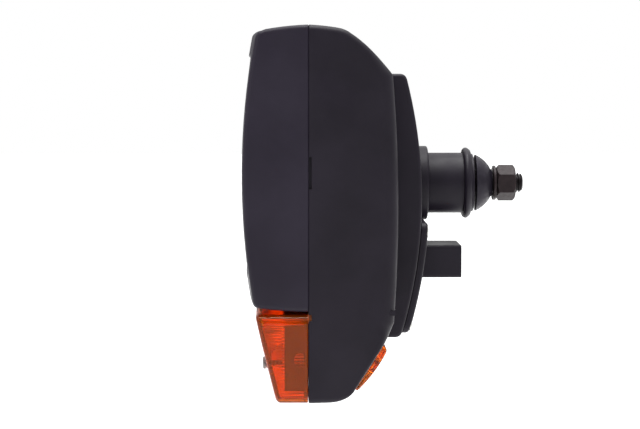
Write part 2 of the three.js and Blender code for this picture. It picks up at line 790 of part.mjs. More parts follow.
function addConnector() {
  const { halfWidth, low, high, end, wall, floor, corner } = PLUG;
  const block = along(roundedRectangle(-halfWidth, halfWidth, low, high, corner), 58, end);
  const cavity = along(
    roundedRectangle(-halfWidth + wall, halfWidth - wall, low + wall, high - wall, corner / 2),
    floor,
    end + 1,
  );
  const slot = ([y, z], clear) => {
    const [wide, thick] = [PIN.width / 2 + clear, PIN.thick / 2 + clear];
    return [y - wide, y + wide, z - thick, z + thick];
  };
  const belowCover = across(panelLayer(low - 5, high + 5, -20, COVER.rise + GAP), halfWidth + 5);
  const slots = PIN_SPOTS.map((spot) => box(50, end, ...slot(spot, GAP)));
  add("connector_housing", cut(block, belowCover, cavity, ...slots), blackPlastic);
  PIN_SPOTS.forEach((spot, i) => {
    add("connector_pin_" + (i + 1), box(PIN.from, PIN.to, ...slot(spot, 0)), brass);
  });
}

// ---- Front indicator ----

function addFrontIndicator() {
  const { top, bottom, wall } = FRONT_LAMP;
  const halfWidth = HALF_WIDTH - 0.4;
  const outline = (reduce) =>
    roundedRectangle(-halfWidth + reduce, halfWidth - reduce, bottom + reduce, top - reduce, 4);
  const shell = (depth, back, reduce) =>
    common(
      between((y, z) => indicatorFace(y, z) + depth, () => back, HALF_WIDTH, bottom - 1, top + 1, 12, 7),
      along(outline(reduce), -60, 10),
    );
  const face = (y) => indicatorFace(y, FRONT_SCREW_Z);
  add(
    "front_indicator_lens",
    cut(
      shell(0, -GAP, 0),
      shell(wall, 2, wall),
      ...SCREW_SPOTS.front.map((y) => rod(-60, -10, 2.4, 12, y, FRONT_SCREW_Z)),
      ...SCREW_SPOTS.front.map((y) => rod(-60, face(y) + 1.2 + GAP, 4.2, 16, y, FRONT_SCREW_Z)),
    ),
    amberPlastic,
  );
  add(
    "front_indicator_seal",
    cut(along(outline(wall + GAP), -2.6, -0.2), along(outline(wall + 2.5), -4, 4)),
    rubber,
  );
  const plate = cut(
    along(outline(wall + 0.6), 0.3, 2),
    rod(-1, 3, 12.5, 20, FRONT_BULB.y, FRONT_BULB.z),
    ...SCREW_SPOTS.front.map((y) => rod(-1, 5, 2.4, 12, y, FRONT_SCREW_Z)),
  );
  add("front_indicator_reflector", plate, mirror);
  SCREW_SPOTS.front.forEach((y, i) => {
    const seat = face(y) + 1.2;
    const head = [[seat - 2, 0], [seat - 2, 3], [seat - 1, 3.8], [seat, 3.8]];
    const shank = [[seat, 2], [12, 2], [13, 0.8], [13, 0]];
    add("front_indicator_screw_" + (i + 1), turned([...head, ...shank], 10, y, FRONT_SCREW_Z), zincSteel);
  });
  addBulb("front", lamp, 0, FRONT_BULB.y, FRONT_BULB.z, -1, 8);
}

// A bayonet bulb in its socket; facing is the way its glass points along X.
function addBulb(place, parent, x, y, z, facing, glassR) {
  const part = (name, profile, material) => {
    const placed = profile.map(([distance, r]) => [x + facing * distance, r]);
    add(place + name, turned(placed, 14, y, z), material, parent);
  };
  const cup = [[-18, 0], [-18, 9.5], [-5.3, 9.5], [-5.3, 12], [-2.3, 12], [-2.3, 10.5]];
  const mouth = [[1.5, 10.5], [1.5, 8], [-14, 8], [-14, 0]];
  part("_bulb_socket", [...cup, ...mouth], blackPlastic);
  part("_bulb_base", [[-13.7, 0], [-13.7, 6], [-12.5, 7.5], [3, 7.5], [3, 0]], brass);
  part("_bulb_glass", [[3.3, 0], [3.3, 6], ...arc(5 + glassR, glassR, 140, 0, 6)], amberPlastic);
}

// ---- Rear indicator, in the frame of the slope ----

function addRearIndicator() {
  const { halfWidth, low, high, rise, screwSeat } = REAR_LAMP;
  const outline = new THREE.Shape();
  outline.moveTo(GAP, low);
  outline.lineTo(rise - 2.2, low);
  outline.quadraticCurveTo(rise + 1.2, -2, rise, high - 3);
  outline.quadraticCurveTo(rise - 0.5, high - 0.6, rise - 3.9, high);
  outline.lineTo(GAP, high);
  const underside = polygon([[-1, -12], [rise - 4.4, -12], [rise - 2.4, 0], [rise - 3.4, 11], [-1, 11]]);
  const screwHoles = SCREW_SPOTS.rear.map((y) => rod(-2, 9, 2.2, 8, y, 0));
  const screwSeats = SCREW_SPOTS.rear.map((y) => rod(screwSeat, 9, 4.2, 12, y, 0));
  const dish = cut(
    across(outline, halfWidth, 0, 0, 1, 3),
    across(underside, halfWidth - 12),
    ...screwHoles,
    ...screwSeats,
  );
  add("rear_indicator_lens", dish, amberPlastic, rearLamp);
  const ring = (reduce) => roundedRectangle(-50 + reduce, 50 - reduce, -8.4 + reduce, 8.4 - reduce, 2);
  add("rear_indicator_seal", cut(along(ring(0), -2.2, 0), along(ring(1.5), -3, 1)), rubber, rearLamp);
  const tray = cut(
    along(roundedRectangle(-54, 54, -10, 9.5, 3), -4.6, -3),
    rod(-8, 0, 7, 14, REAR_BULB_Y, 0),
  );
  add("rear_indicator_reflector", tray, mirror, rearLamp);
  SCREW_SPOTS.rear.forEach((y, i) => {
    const seat = screwSeat + GAP;
    const shank = [[-9, 0], [-9, 0.6], [-8, 1.5], [seat, 1.5]];
    const head = [[seat, 3.4], [seat + 1.2, 3], [seat + 1.4, 0]];
    add("rear_indicator_screw_" + (i + 1), turned([...shank, ...head], 8, y, 0), zincSteel, rearLamp);
  });
  addBulb("rear", rearLamp, -12.5, REAR_BULB_Y, 0, 1, 3.6);
}

// ---- Leads inside the lamp ----

const LEAD_R = 1.8;

function addLead(name, ...points) {
  const path = new THREE.CatmullRomCurve3(points.map((point) => new THREE.Vector3(...point)));
  const section = circle(0, 0, LEAD_R);
  const geometry = new THREE.ExtrudeGeometry(section, {
    steps: 12,
    curveSegments: 3,
    bevelEnabled: false,
    extrudePath: path,
  });
  add(name, solid(geometry), rubber);
}

function addLeads() {
  const x = PIN.from - GAP - 0.5;
  const z = (PLUG.low + PLUG.high) / 2;
  addLead(
    "headlamp_lead",
    [x, PIN.pitch, z + PIN.row],
    [50, 14, -42],
    [41, 24, -30],
    [37.5, 27, -12],
    [35.5, 20, -5],
    [34.2, 13.5, 0.5],
  );
  addLead(
    "front_indicator_lead",
    [x, -PIN.pitch, z - PIN.row],
    [48, -16, -56],
    [31, -3, -62],
    [31, -3, -74],
    [27, -28, -90],
    [19.5, -42, -99],
  );
  addLead(
    "rear_indicator_lead",
    [x, 0, z - PIN.row],
    [48, 6, -57],
    [31, 3, -62],
    [31, 3, -74],
    [20, 11, -80],
    [15, 20, -83],
  );
}

// ---- Assembly ----

add("rear_housing", rearHousing(), blackPlastic);
add("front_bezel", frontBezel(), bezelPlastic);
add("headlamp_lens", behindBezel(BEZEL_FACE + GAP, BEZEL_FACE + GAP + LENS_THICK, LENS_MARGIN), clearGlass);
add("lens_seal", lensSeal(), rubber);
add("seam_seal", seamSeal(), rubber);
addReflectorUnit();
addAim();
addStud();
addBallCups();
addRearCover();
addConnector();
addFrontIndicator();
addRearIndicator();
addLeads();

lamp.position.x = -RING.to;
const headlamp = new THREE.Group();
headlamp.add(lamp);

export default headlamp;
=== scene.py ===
import json
import math

import bmesh
import bpy
from mathutils import Matrix, Vector


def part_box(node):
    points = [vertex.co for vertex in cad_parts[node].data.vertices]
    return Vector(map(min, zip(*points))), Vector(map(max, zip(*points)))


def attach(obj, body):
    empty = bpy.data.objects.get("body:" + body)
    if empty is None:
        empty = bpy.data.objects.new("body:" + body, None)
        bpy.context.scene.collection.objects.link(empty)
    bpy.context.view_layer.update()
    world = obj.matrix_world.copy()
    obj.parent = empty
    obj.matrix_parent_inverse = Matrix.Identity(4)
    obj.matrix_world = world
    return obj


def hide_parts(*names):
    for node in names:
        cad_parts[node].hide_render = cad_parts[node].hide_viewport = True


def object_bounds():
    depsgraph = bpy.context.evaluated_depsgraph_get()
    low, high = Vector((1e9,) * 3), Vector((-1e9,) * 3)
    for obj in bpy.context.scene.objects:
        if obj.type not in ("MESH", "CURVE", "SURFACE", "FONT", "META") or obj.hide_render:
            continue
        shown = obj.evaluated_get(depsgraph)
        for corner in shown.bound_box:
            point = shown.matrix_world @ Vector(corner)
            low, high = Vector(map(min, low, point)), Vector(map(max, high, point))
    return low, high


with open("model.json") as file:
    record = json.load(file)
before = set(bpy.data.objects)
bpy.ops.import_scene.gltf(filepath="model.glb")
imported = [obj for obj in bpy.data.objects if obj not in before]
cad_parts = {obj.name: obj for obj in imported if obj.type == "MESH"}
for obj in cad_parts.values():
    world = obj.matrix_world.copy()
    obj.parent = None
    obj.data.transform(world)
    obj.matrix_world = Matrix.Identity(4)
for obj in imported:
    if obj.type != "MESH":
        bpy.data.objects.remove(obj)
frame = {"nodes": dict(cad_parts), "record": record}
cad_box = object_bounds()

MM = 0.001
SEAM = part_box("rear_housing")[0].x / MM


def row(x, y, z):
    return Vector(((x + SEAM) * MM, y * MM, z * MM))


def low_high(node):
    """A CAD node's box in millimetres from the seam."""
    low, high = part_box(node)
    shift = Vector((SEAM, 0, 0))
    return low / MM - shift, high / MM - shift


# ---- Camera, stage and light ----

LENS_MM = 112.5
CAMERA_PLACE = (-0.1144, -1.22, 0.0669)
CAMERA_AIM = (-0.0931, 0.0, -0.0194)


def add_camera():
    data = bpy.data.cameras.new("camera")
    data.lens = LENS_MM
    data.dof.use_dof = False
    camera = bpy.data.objects.new("camera", data)
    bpy.context.scene.collection.objects.link(camera)
    camera.location = CAMERA_PLACE
    look = Vector(CAMERA_AIM) - Vector(CAMERA_PLACE)
    camera.rotation_euler = look.to_track_quat("-Z", "Y").to_euler()
    bpy.context.scene.camera = camera


FLOOR_DROP = 0.35


def add_floor():
    """White paper some way below the lamp, which hangs on its stud."""
    mesh = bpy.data.meshes.new("floor")
    reach = 12.0
    level = cad_box[0].z - FLOOR_DROP
    corners = [(-reach, -reach), (reach, -reach), (reach, reach), (-reach, reach)]
    mesh.from_pydata([(x, y, level) for x, y in corners], [], [(0, 1, 2, 3)])
    floor = bpy.data.objects.new("floor", mesh)
    bpy.context.scene.collection.objects.link(floor)
    paper = bpy.data.materials.new("studio_paper")
    paper.use_nodes = True
    shader = paper.node_tree.nodes["Principled BSDF"]
    shader.inputs["Base Color"].default_value = (0.97, 0.97, 0.97, 1)
    shader.inputs["Roughness"].default_value = 0.95
    shader.inputs["Specular IOR Level"].default_value = 0.0
    mesh.materials.append(paper)


def area_light(name, place, aim, size, power):
    data = bpy.data.lights.new(name, "AREA")
    data.shape = "RECTANGLE"
    data.size, data.size_y = size
    data.energy = power
    light = bpy.data.objects.new(name, data)
    bpy.context.scene.collection.objects.link(light)
    light.location = place
    look = Vector(aim) - Vector(place)
    light.rotation_euler = look.to_track_quat("-Z", "Y").to_euler()


def add_sky():
    """Camera rays see plain white; the lamp is lit by a sky that is brighter overhead and behind it."""
    world = bpy.data.worlds.new("studio")
    bpy.context.scene.world = world
    world.use_nodes = True
    tree = world.node_tree
    tree.nodes.clear()
    output = tree.nodes.new("ShaderNodeOutputWorld")
    mix = tree.nodes.new("ShaderNodeMixShader")
    path = tree.nodes.new("ShaderNodeLightPath")
    white = tree.nodes.new("ShaderNodeBackground")
    sky = tree.nodes.new("ShaderNodeBackground")
    for background in (white, sky):
        background.inputs["Color"].default_value = (1, 1, 1, 1)
    place = tree.nodes.new("ShaderNodeTexCoord")
    split = tree.nodes.new("ShaderNodeSeparateXYZ")
    tree.links.new(place.outputs["Generated"], split.inputs[0])
    levels = []
    for axis, start, stop, dim, bright in (("Z", 0.0, 1.0, 0.18, 2.5), ("Y", -1.0, 1.0, 0.75, 1.15)):
        level = tree.nodes.new("ShaderNodeMapRange")
        level.inputs["From Min"].default_value = start
        level.inputs["From Max"].default_value = stop
        level.inputs["To Min"].default_value = dim
        level.inputs["To Max"].default_value = bright
        tree.links.new(split.outputs[axis], level.inputs["Value"])
        levels.append(level.outputs["Result"])
    strength = tree.nodes.new("ShaderNodeMath")
    strength.operation = "MULTIPLY"
    for i, level in enumerate(levels):
        tree.links.new(level, strength.inputs[i])
    tree.links.new(strength.outputs[0], sky.inputs["Strength"])
    tree.links.new(path.outputs["Is Camera Ray"], mix.inputs["Fac"])
    tree.links.new(sky.outputs[0], mix.inputs[1])
    tree.links.new(white.outputs[0], mix.inputs[2])
    tree.links.new(mix.outputs[0], output.inputs["Surface"])


bpy.context.scene.view_settings.view_transform = "Standard"
add_camera()
add_floor()
add_sky()
area_light("overhead", (0.0, -0.1, 1.5), (-0.09, 0, 0), (1.5, 0.9), 38)
area_light("from_left", (-1.5, -0.8, 0.7), (-0.1, 0, 0), (0.5, 1.2), 5)

# ---- Meshes ----


def clamp(value):
    return min(1.0, max(0.0, value))


def bend(points, control, end, steps=8):
    """Carries an outline on along a curve that leans towards control."""
    start = points[-1]
    for i in range(1, steps + 1):
        t = i / steps
        near, mid, far = (1 - t) ** 2, 2 * t * (1 - t), t * t
        points.append(tuple(near * a + mid * c + far * b for a, c, b in zip(start, control, end)))


def inset(points, distance):
    """An anticlockwise outline moved inwards by distance, which may be a list with one for each point."""
    closed = points[0] == points[-1]
    distances = distance if isinstance(distance, list) else [distance] * len(points)
    moved = []
    for i, point in enumerate(points):
        before = points[i - 1] if i else (points[-2] if closed else None)
        after = points[i + 1] if i + 1 < len(points) else (points[1] if closed else None)
        sides = [(a, b) for a, b in ((before, point), (point, after)) if a and b]
        normals = []
        for (u0, v0), (u1, v1) in sides:
            length = math.hypot(u1 - u0, v1 - v0)
            normals.append(((v0 - v1) / length, (u1 - u0) / length))
        first, last = normals[0], normals[-1]
        scale = distances[i] / (1 + first[0] * last[0] + first[1] * last[1])
        moved.append((point[0] + (first[0] + last[0]) * scale, point[1] + (first[1] + last[1]) * scale))
    return moved


def rounded_loop(half, low, high, radius, rise=6, corner=6, run=14):
    """A rounded rectangle of (y, z) points that starts half way up its +Y side."""
    mid = (low + high) / 2
    tall = (high - low) / 2
    quarter = [(half, (tall - radius) * i / rise) for i in range(rise)]
    for i in range(corner):
        angle = math.pi / 2 * i / corner
        across, up = radius * math.cos(angle), radius * math.sin(angle)
        quarter.append((half - radius + across, tall - radius + up))
    quarter += [((half - radius) * (1 - i / run), tall) for i in range(run + 1)]
    top = quarter + [(-y, z) for y, z in quarter[-2::-1]]
    bottom = [(y, -z) for y, z in top[-2:0:-1]]
    return [(y, mid + z) for y, z in top + bottom]


def loft(loops, closed=False, caps=(None, None)):
    """Faces between neighbouring loops.

    A cap is None for one flat face, or the index at which its strips start.
    """
    count, n = len(loops), len(loops[0])
    faces = []
    for k in range(count if closed else count - 1):
        a, b = k * n, (k + 1) % count * n
        faces += [(a + i, a + (i + 1) % n, b + (i + 1) % n, b + i) for i in range(n)]
    if not closed:
        for base, fold in ((0, caps[0]), ((count - 1) * n, caps[1])):
            if fold is None:
                faces.append(tuple(base + i for i in range(n)))
                continue
            for k in range(n // 2):
                ring = [(fold + k) % n, (fold + k + 1) % n, (fold - k - 1) % n, (fold - k) % n]
                faces.append(tuple(base + i for i in dict.fromkeys(ring)))
    return [p for loop in loops for p in loop], faces


def make(name, verts, faces, matrix=None):
    """A closed mesh from points in millimetres from the seam."""
    shape = bmesh.new()
    placed = [row(*p) for p in verts] if matrix is None else [row(*(matrix @ Vector(p))) for p in verts]
    made = [shape.verts.new(p) for p in placed]
    for face in faces:
        shape.faces.new([made[i] for i in face])
    bmesh.ops.remove_doubles(shape, verts=shape.verts, dist=1e-7)
    bmesh.ops.dissolve_degenerate(shape, edges=shape.edges, dist=1e-8)
    bmesh.ops.recalc_face_normals(shape, faces=shape.faces)
    mesh = bpy.data.meshes.new(name)
    shape.to_mesh(mesh)
    shape.free()
    piece = bpy.data.objects.new(name, mesh)
    bpy.context.scene.collection.objects.link(piece)
    return piece


def bake(piece):
    """Turns a piece's modifiers into its mesh."""
    graph = bpy.context.evaluated_depsgraph_get()
    mesh = bpy.data.meshes.new_from_object(piece.evaluated_get(graph))
    piece.modifiers.clear()
    piece.data = mesh
    return piece


def combine(operation, piece, *tools):
    for tool in tools:
        modifier = piece.modifiers.new(operation, "BOOLEAN")
        modifier.operation = operation
        modifier.solver = "EXACT"
        modifier.object = tool
        bake(piece)
        bpy.data.objects.remove(tool)
    return piece


def cut(piece, *tools):
    return combine("DIFFERENCE", piece, *tools)


def join(piece, *tools):
    return combine("UNION", piece, *tools)


def keep(piece, *tools):
    return combine("INTERSECT", piece, *tools)


def turned(name, profile, segments=72, y=0.0, z=0.0, matrix=None, ring=False):
    """A profile of (x, radius) points turned about the X axis through (y, z)."""
    loops = []
    for x, r in profile:
        angles = [2 * math.pi * i / segments for i in range(segments)]
        loops.append([(x, y + r * math.cos(a), z + r * math.sin(a)) for a in angles])
    return make(name, *loft(loops, closed=ring), matrix)


def rod(name, x0, x1, radius, segments=48, y=0.0, z=0.0, matrix=None):
    return turned(name, [(x0, radius), (x1, radius)], segments, y, z, matrix)


def block(name, x0, x1, y0, y1, z0, z1, matrix=None):
    ends = [[(x, y0, z0), (x, y1, z0), (x, y1, z1), (x, y0, z1)] for x in (x0, x1)]
    return make(name, *loft(ends), matrix)


def prism(name, loop, x0, x1, matrix=None):
    """A (y, z) loop drawn along X."""
    return make(name, *loft([[(x, y, z) for y, z in loop] for x in (x0, x1)]), matrix)


def arc(centre, radius, start, stop, steps=10):
    """Points of a turned profile on a circle about (x, r), angles in degrees from +X."""
    angles = [math.radians(start + (stop - start) * i / steps) for i in range(steps + 1)]
    return [(centre[0] + radius * math.cos(a), centre[1] + radius * math.sin(a)) for a in angles]


def slab(name, outline, half, edge, matrix=None, steps=7):
    """A side outline of (x, z) points drawn across the lamp, its long edges rounded by edge.

    Where edge is a function it gives the rounding at each point of the outline.
    """
    radii = [edge(*point) if callable(edge) else edge for point in outline]
    widest = max(radii)
    loops = []
    for i in range(steps + 1):
        y = half - widest + widest * math.sin(math.pi / 2 * (1 - i / steps))
        near = [max(0.0, radius - (half - y)) for radius in radii]
        pulls = [r - math.sqrt(max(0.0, r * r - d * d)) for r, d in zip(radii, near)]
        points = inset(outline, pulls)
        loops.append([(x, y, z) for x, z in points])
    loops += [[(x, -y, z) for x, y, z in loop] for loop in reversed(loops)]
    return make(name, *loft(loops), matrix)


def dress(piece, material, body, slot, *nodes, crease=34):
    """Gives a finished piece its material, its body and its finish, and hides the CAD nodes that it stands
    for.
    """
    mesh = piece.data
    mesh.materials.clear()
    mesh.materials.append(material)
    mesh.shade_smooth()
    mesh.set_sharp_from_angle(angle=math.radians(crease))
    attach(piece, body)
    if nodes:
        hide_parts(*nodes)
    return piece


# ---- Materials ----


class Finish:
    """A Principled material and the nodes that vary it, in the frame's own coordinates."""

    def __init__(self, name, colour, roughness, metallic=0.0):
        self.made = bpy.data.materials.new(name)
        self.made.use_nodes = True
        self.tree = self.made.node_tree
        self.shader = self.tree.nodes["Principled BSDF"]
        self.place = self.tree.nodes.new("ShaderNodeTexCoord")
        self.set("Base Color", (*colour, 1))
        self.set("Roughness", roughness)
        self.set("Metallic", metallic)

    def set(self, socket, value):
        self.shader.inputs[socket].default_value = value

    def noise(self, size_mm, detail=3.0, stretch=None):
        """Noise whose features are about size_mm across, stretched along the frame's axes if asked."""
        texture = self.tree.nodes.new("ShaderNodeTexNoise")
        texture.inputs["Scale"].default_value = 1 / (size_mm * MM)
        texture.inputs["Detail"].default_value = detail
        source = self.place.outputs["Object"]
        if stretch:
            mapping = self.tree.nodes.new("ShaderNodeMapping")
            mapping.inputs["Scale"].default_value = stretch
            self.tree.links.new(source, mapping.inputs["Vector"])
            source = mapping.outputs["Vector"]
        self.tree.links.new(source, texture.inputs["Vector"])
        return texture.outputs["Fac"]

    def ramp(self, value, low, high, start=0.35, stop=0.65):
        """Maps a value to a number, or to a colour where low and high are colours."""
        if isinstance(low, tuple):
            node = self.tree.nodes.new("ShaderNodeValToRGB")
            node.color_ramp.elements[0].position = start
            node.color_ramp.elements[1].position = stop
            node.color_ramp.elements[0].color = (*low, 1)
            node.color_ramp.elements[1].color = (*high, 1)
            self.tree.links.new(value, node.inputs["Fac"])
            return node.outputs["Color"]
        node = self.tree.nodes.new("ShaderNodeMapRange")
        node.inputs["From Min"].default_value = start
        node.inputs["From Max"].default_value = stop
        node.inputs["To Min"].default_value = low
        node.inputs["To Max"].default_value = high
        self.tree.links.new(value, node.inputs["Value"])
        return node.outputs["Result"]

    def vary(self, socket, source):
        self.tree.links.new(source, self.shader.inputs[socket])

    def bump(self, source, strength, depth_mm):
        node = self.tree.nodes.new("ShaderNodeBump")
        node.inputs["Strength"].default_value = strength
        node.inputs["Distance"].default_value = depth_mm * MM
        self.tree.links.new(source, node.inputs["Height"])
        before = self.shader.inputs["Normal"].links
        if before:
            self.tree.links.new(before[0].from_socket, node.inputs["Normal"])
        self.tree.links.new(node.outputs["Normal"], self.shader.inputs["Normal"])


def moulded(name, dark, light, roughness, grain_mm=0.45, grain=0.25, ior=1.23):
    """Moulded plastic: fine spark-eroded grain, cloudy colour, a few rubbed patches and fine scratches."""
    finish = Finish(name, dark, roughness)
    finish.vary("Base Color", finish.ramp(finish.noise(38, 4), dark, light))
    finish.vary("Roughness", finish.ramp(finish.noise(16, 5), roughness - 0.07, roughness + 0.07))
    finish.bump(finish.noise(grain_mm, 2), grain, 0.06)
    finish.bump(finish.noise(2.4, 6, (0.12, 1, 1)), 0.08, 0.05)
    finish.set("IOR", ior)
    return finish.made


def soft_rubber(name):
    finish = Finish(name, (0.012, 0.012, 0.014), 0.8)
    dark, light = (0.010, 0.010, 0.012), (0.028, 0.027, 0.030)
    finish.vary("Base Color", finish.ramp(finish.noise(9, 4), dark, light))
    finish.vary("Roughness", finish.ramp(finish.noise(5, 4), 0.7, 0.9))
    finish.bump(finish.noise(0.6, 3), 0.3, 0.08)
    return finish.made


def steel(name, dark, light, roughness, metallic, flow=(1, 1, 1)):
    """Plated or phosphated steel: patchy coating, fine tool marks along flow."""
    finish = Finish(name, dark, roughness, metallic)
    finish.vary("Base Color", finish.ramp(finish.noise(3.5, 6), dark, light, 0.3, 0.7))
    finish.vary("Roughness", finish.ramp(finish.noise(1.8, 5), roughness - 0.1, roughness + 0.12))
    finish.bump(finish.noise(0.5, 4, flow), 0.3, 0.05)
    finish.bump(finish.noise(0.12, 2), 0.25, 0.02)
    finish.set("IOR", 1.24)
    return finish.made


def clear(name, colour, roughness, ior, transmission=1.0):
    """Clear glass or plastic with a faint waviness and a little dust in its gloss."""
    finish = Finish(name, colour, roughness)
    finish.set("Transmission Weight", transmission)
    finish.set("IOR", ior)
    finish.vary("Roughness", finish.ramp(finish.noise(7, 5), roughness, roughness + 0.05))
    finish.bump(finish.noise(6, 2), 0.12, 0.05)
    return finish.made


def mirror_coat(name):
    """Vacuum metallising with slight orange peel and faint haze."""
    finish = Finish(name, (0.74, 0.75, 0.77), 0.06, 1.0)
    finish.vary("Roughness", finish.ramp(finish.noise(12, 4), 0.03, 0.14))
    finish.bump(finish.noise(1.6, 3), 0.12, 0.02)
    return finish.made


HOUSING = moulded("housing_plastic_look", (0.0068, 0.0052, 0.0090), (0.0100, 0.0078, 0.0130), 0.46)
BEZEL = moulded("bezel_plastic_look", (0.0108, 0.0084, 0.0148), (0.0148, 0.0118, 0.0200), 0.44)
RUBBER = soft_rubber("rubber_look")
BLACK_STEEL = steel("black_steel_look", (0.012, 0.008, 0.009), (0.019, 0.013, 0.014), 0.42, 0.2)
BLUED_STEEL = steel("blued_steel_look", (0.011, 0.0092, 0.0138), (0.018, 0.0152, 0.0220), 0.4, 0.25)
THREAD_STEEL = steel("thread_look", (0.005, 0.0038, 0.0045), (0.010, 0.0075, 0.0082), 0.36, 0.3)
ZINC = steel("zinc_look", (0.42, 0.42, 0.40), (0.56, 0.56, 0.53), 0.32, 1.0)
# Dark red-brown lining inside the front indicator: painted shade seen through the amber lens.
PAINTED_SHADE_LINING = moulded("painted_shade_lining_look", (0.012, 0.004, 0.004), (0.022, 0.008, 0.007), 0.5)
BULB_AMBER = clear("amber_bulb_look", (1.0, 0.55, 0.08), 0.08, 1.45, 0.45)
# A darker copy of the zinc, painted shade: the front indicator screws sit in recesses of the lens.
ZINC_PAINTED_SHADE = steel("zinc_painted_shade_look", (0.10, 0.09, 0.09), (0.2, 0.18, 0.17), 0.4, 0.9)
BRASS = steel("brass_look", (0.62, 0.44, 0.17), (0.78, 0.58, 0.26), 0.3, 1.0)
NYLON = moulded(
    "nylon_look", (0.66, 0.63, 0.53), (0.76, 0.73, 0.63), 0.45, grain_mm=0.7, grain=0.15, ior=1.5
)
GLASS = clear("clear_glass_look", (0.97, 0.99, 0.99), 0.01, 1.5)
AMBER = clear("amber_look", (0.88, 0.18, 0.004), 0.03, 1.26, 0.92)
MIRROR = mirror_coat("mirror_look")
LOOKS = {
    "housing_plastic": HOUSING,
    "bezel_plastic": BEZEL,
    "rubber": RUBBER,
    "clear_glass": GLASS,
    "amber_plastic": AMBER,
    "reflector_mirror": MIRROR,
    "black_steel": BLACK_STEEL,
    "zinc_steel": ZINC,
    "brass": BRASS,
    "nylon": NYLON,
}


def round_shading():
    """Joins the CAD's loose triangles and shades them smooth, except across sharp edges."""
    group = bpy.data.node_groups.new("round_shading", "GeometryNodeTree")
    group.interface.new_socket("Geometry", in_out="INPUT", socket_type="NodeSocketGeometry")
    group.interface.new_socket("Geometry", in_out="OUTPUT", socket_type="NodeSocketGeometry")
    start = group.nodes.new("NodeGroupInput")
    stop = group.nodes.new("NodeGroupOutput")
    merge = group.nodes.new("GeometryNodeMergeByDistance")
    merge.inputs["Distance"].default_value = 1e-6
    bare = group.nodes.new("GeometryNodeRemoveAttribute")
    bare.inputs["Name"].default_value = "custom_normal"
    faces = group.nodes.new("GeometryNodeSetShadeSmooth")
    edges = group.nodes.new("GeometryNodeSetShadeSmooth")
    edges.domain = "EDGE"
    angle = group.nodes.new("GeometryNodeInputMeshEdgeAngle")
    compare = group.nodes.new("FunctionNodeCompare")
    compare.operation = "LESS_THAN"
    compare.inputs["B"].default_value = math.radians(34)
    chain = [start, merge, bare, faces, edges, stop]
    for a, b in zip(chain, chain[1:]):
        group.links.new(a.outputs[0], b.inputs[0])
    group.links.new(angle.outputs["Unsigned Angle"], compare.inputs["A"])
    group.links.new(compare.outputs["Result"], edges.inputs["Shade Smooth"])
    return group


def dress_cad_nodes():
    """Every CAD node gets its finish, and smooth shading where no finer piece stands for it."""
    slots = {part["node"]: part["material_slot"] for part in frame["record"]["subparts"]}
    group = round_shading()
    for name, node in frame["nodes"].items():
        amber_bulb = name in ("front_bulb_glass", "rear_bulb_glass")
        node.material_slots[0].material = BULB_AMBER if amber_bulb else LOOKS[slots[name]]
        if node.hide_render:
            continue
        shading = node.modifiers.new("round_shading", "NODES")
        shading.node_group = group


# ---- Housing ----

LAMP_TOP, LAMP_BOTTOM, LAMP_X, LAMP_WALL = -68.9, -119.3, -30.3, 2.5
LAMP_RAKE, LAMP_BOW, LAMP_BOW_FADE = 0.25, 6.0, 15.0
TAB = 1.8
HALF_WIDTH = low_high("rear_housing")[1].y
EDGE = 3.4
WALL = 2.5
SEAM_BEVEL = 0.45
SLOPE_LOW, SLOPE_HIGH = (25.3, -113.2), (41.0, -88.4)
PANEL_HALF, PANEL_LOW, PANEL_HIGH = 62.0, -87.2, 66.5
PANEL_APEX, PANEL_APEX_Z, PANEL_RADIUS = 66.5, -6.0, 270.0
BOSS_R, BOSS_END, BOSS_MOUTH, SEAT_R = 22.5, 73.5, 20.9, 17.1
BALL_X = 56.0
COVER_HALF, COVER_LOW, COVER_HIGH = 57.0, -85.5, -20.5
ACCESS_HALF, ACCESS_LOW, ACCESS_HIGH = 46.0, -75.0, -30.0
AIM_Y, AIM_Z = 40.0, 52.0
DIVIDE_Z = -67.0
PRY_SLOT_LOW, PRY_SLOT_HIGH = 2.0, 20.0
FRONT_SCREW_Y, FRONT_SCREW_Z = 72.0, -100.0
FRONT_BULB_Y, FRONT_BULB_Z = -45.0, -100.0
REAR_SCREW_Y = 60.0
COVER_SCREWS = [(side * 51.5, z) for side in (-1, 1) for z in (COVER_LOW + 5, COVER_HIGH - 5)]


def panel_face(z):
    return PANEL_APEX - (z - PANEL_APEX_Z) ** 2 / (2 * PANEL_RADIUS)


def slope_frame():
    """The rear indicator's own frame: +X out of the slope, +Z up along it."""
    middle = [(a + b) / 2 for a, b in zip(SLOPE_LOW, SLOPE_HIGH)]
    tilt = math.atan2(SLOPE_HIGH[0] - SLOPE_LOW[0], SLOPE_HIGH[1] - SLOPE_LOW[1])
    return Matrix.Translation((middle[0], 0, middle[1])) @ Matrix.Rotation(tilt, 4, "Y")


SLOPE = slope_frame()
BOTTOM, TOP = -119.36, 93.94


def housing_side(reach=12):
    """The housing's side view: from reach ahead of the seam along the bottom, up the back, along the top."""
    points = [(-reach, BOTTOM), (0, BOTTOM), (12, BOTTOM + 0.26)]
    bend(points, (21, BOTTOM + 1), SLOPE_LOW)
    points.append(SLOPE_HIGH)
    bend(points, (45.5, -82), (48.5, -74))
    bend(points, (53.5, -4), (47.5, 66), 18)
    bend(points, (34.5, 82.3), (23.7, 89.2))
    bend(points, (20.6, 91.6), (16, 92.3), 5)
    bend(points, (8, 93.6), (0, TOP), 6)
    points.append((-reach, TOP))
    return points


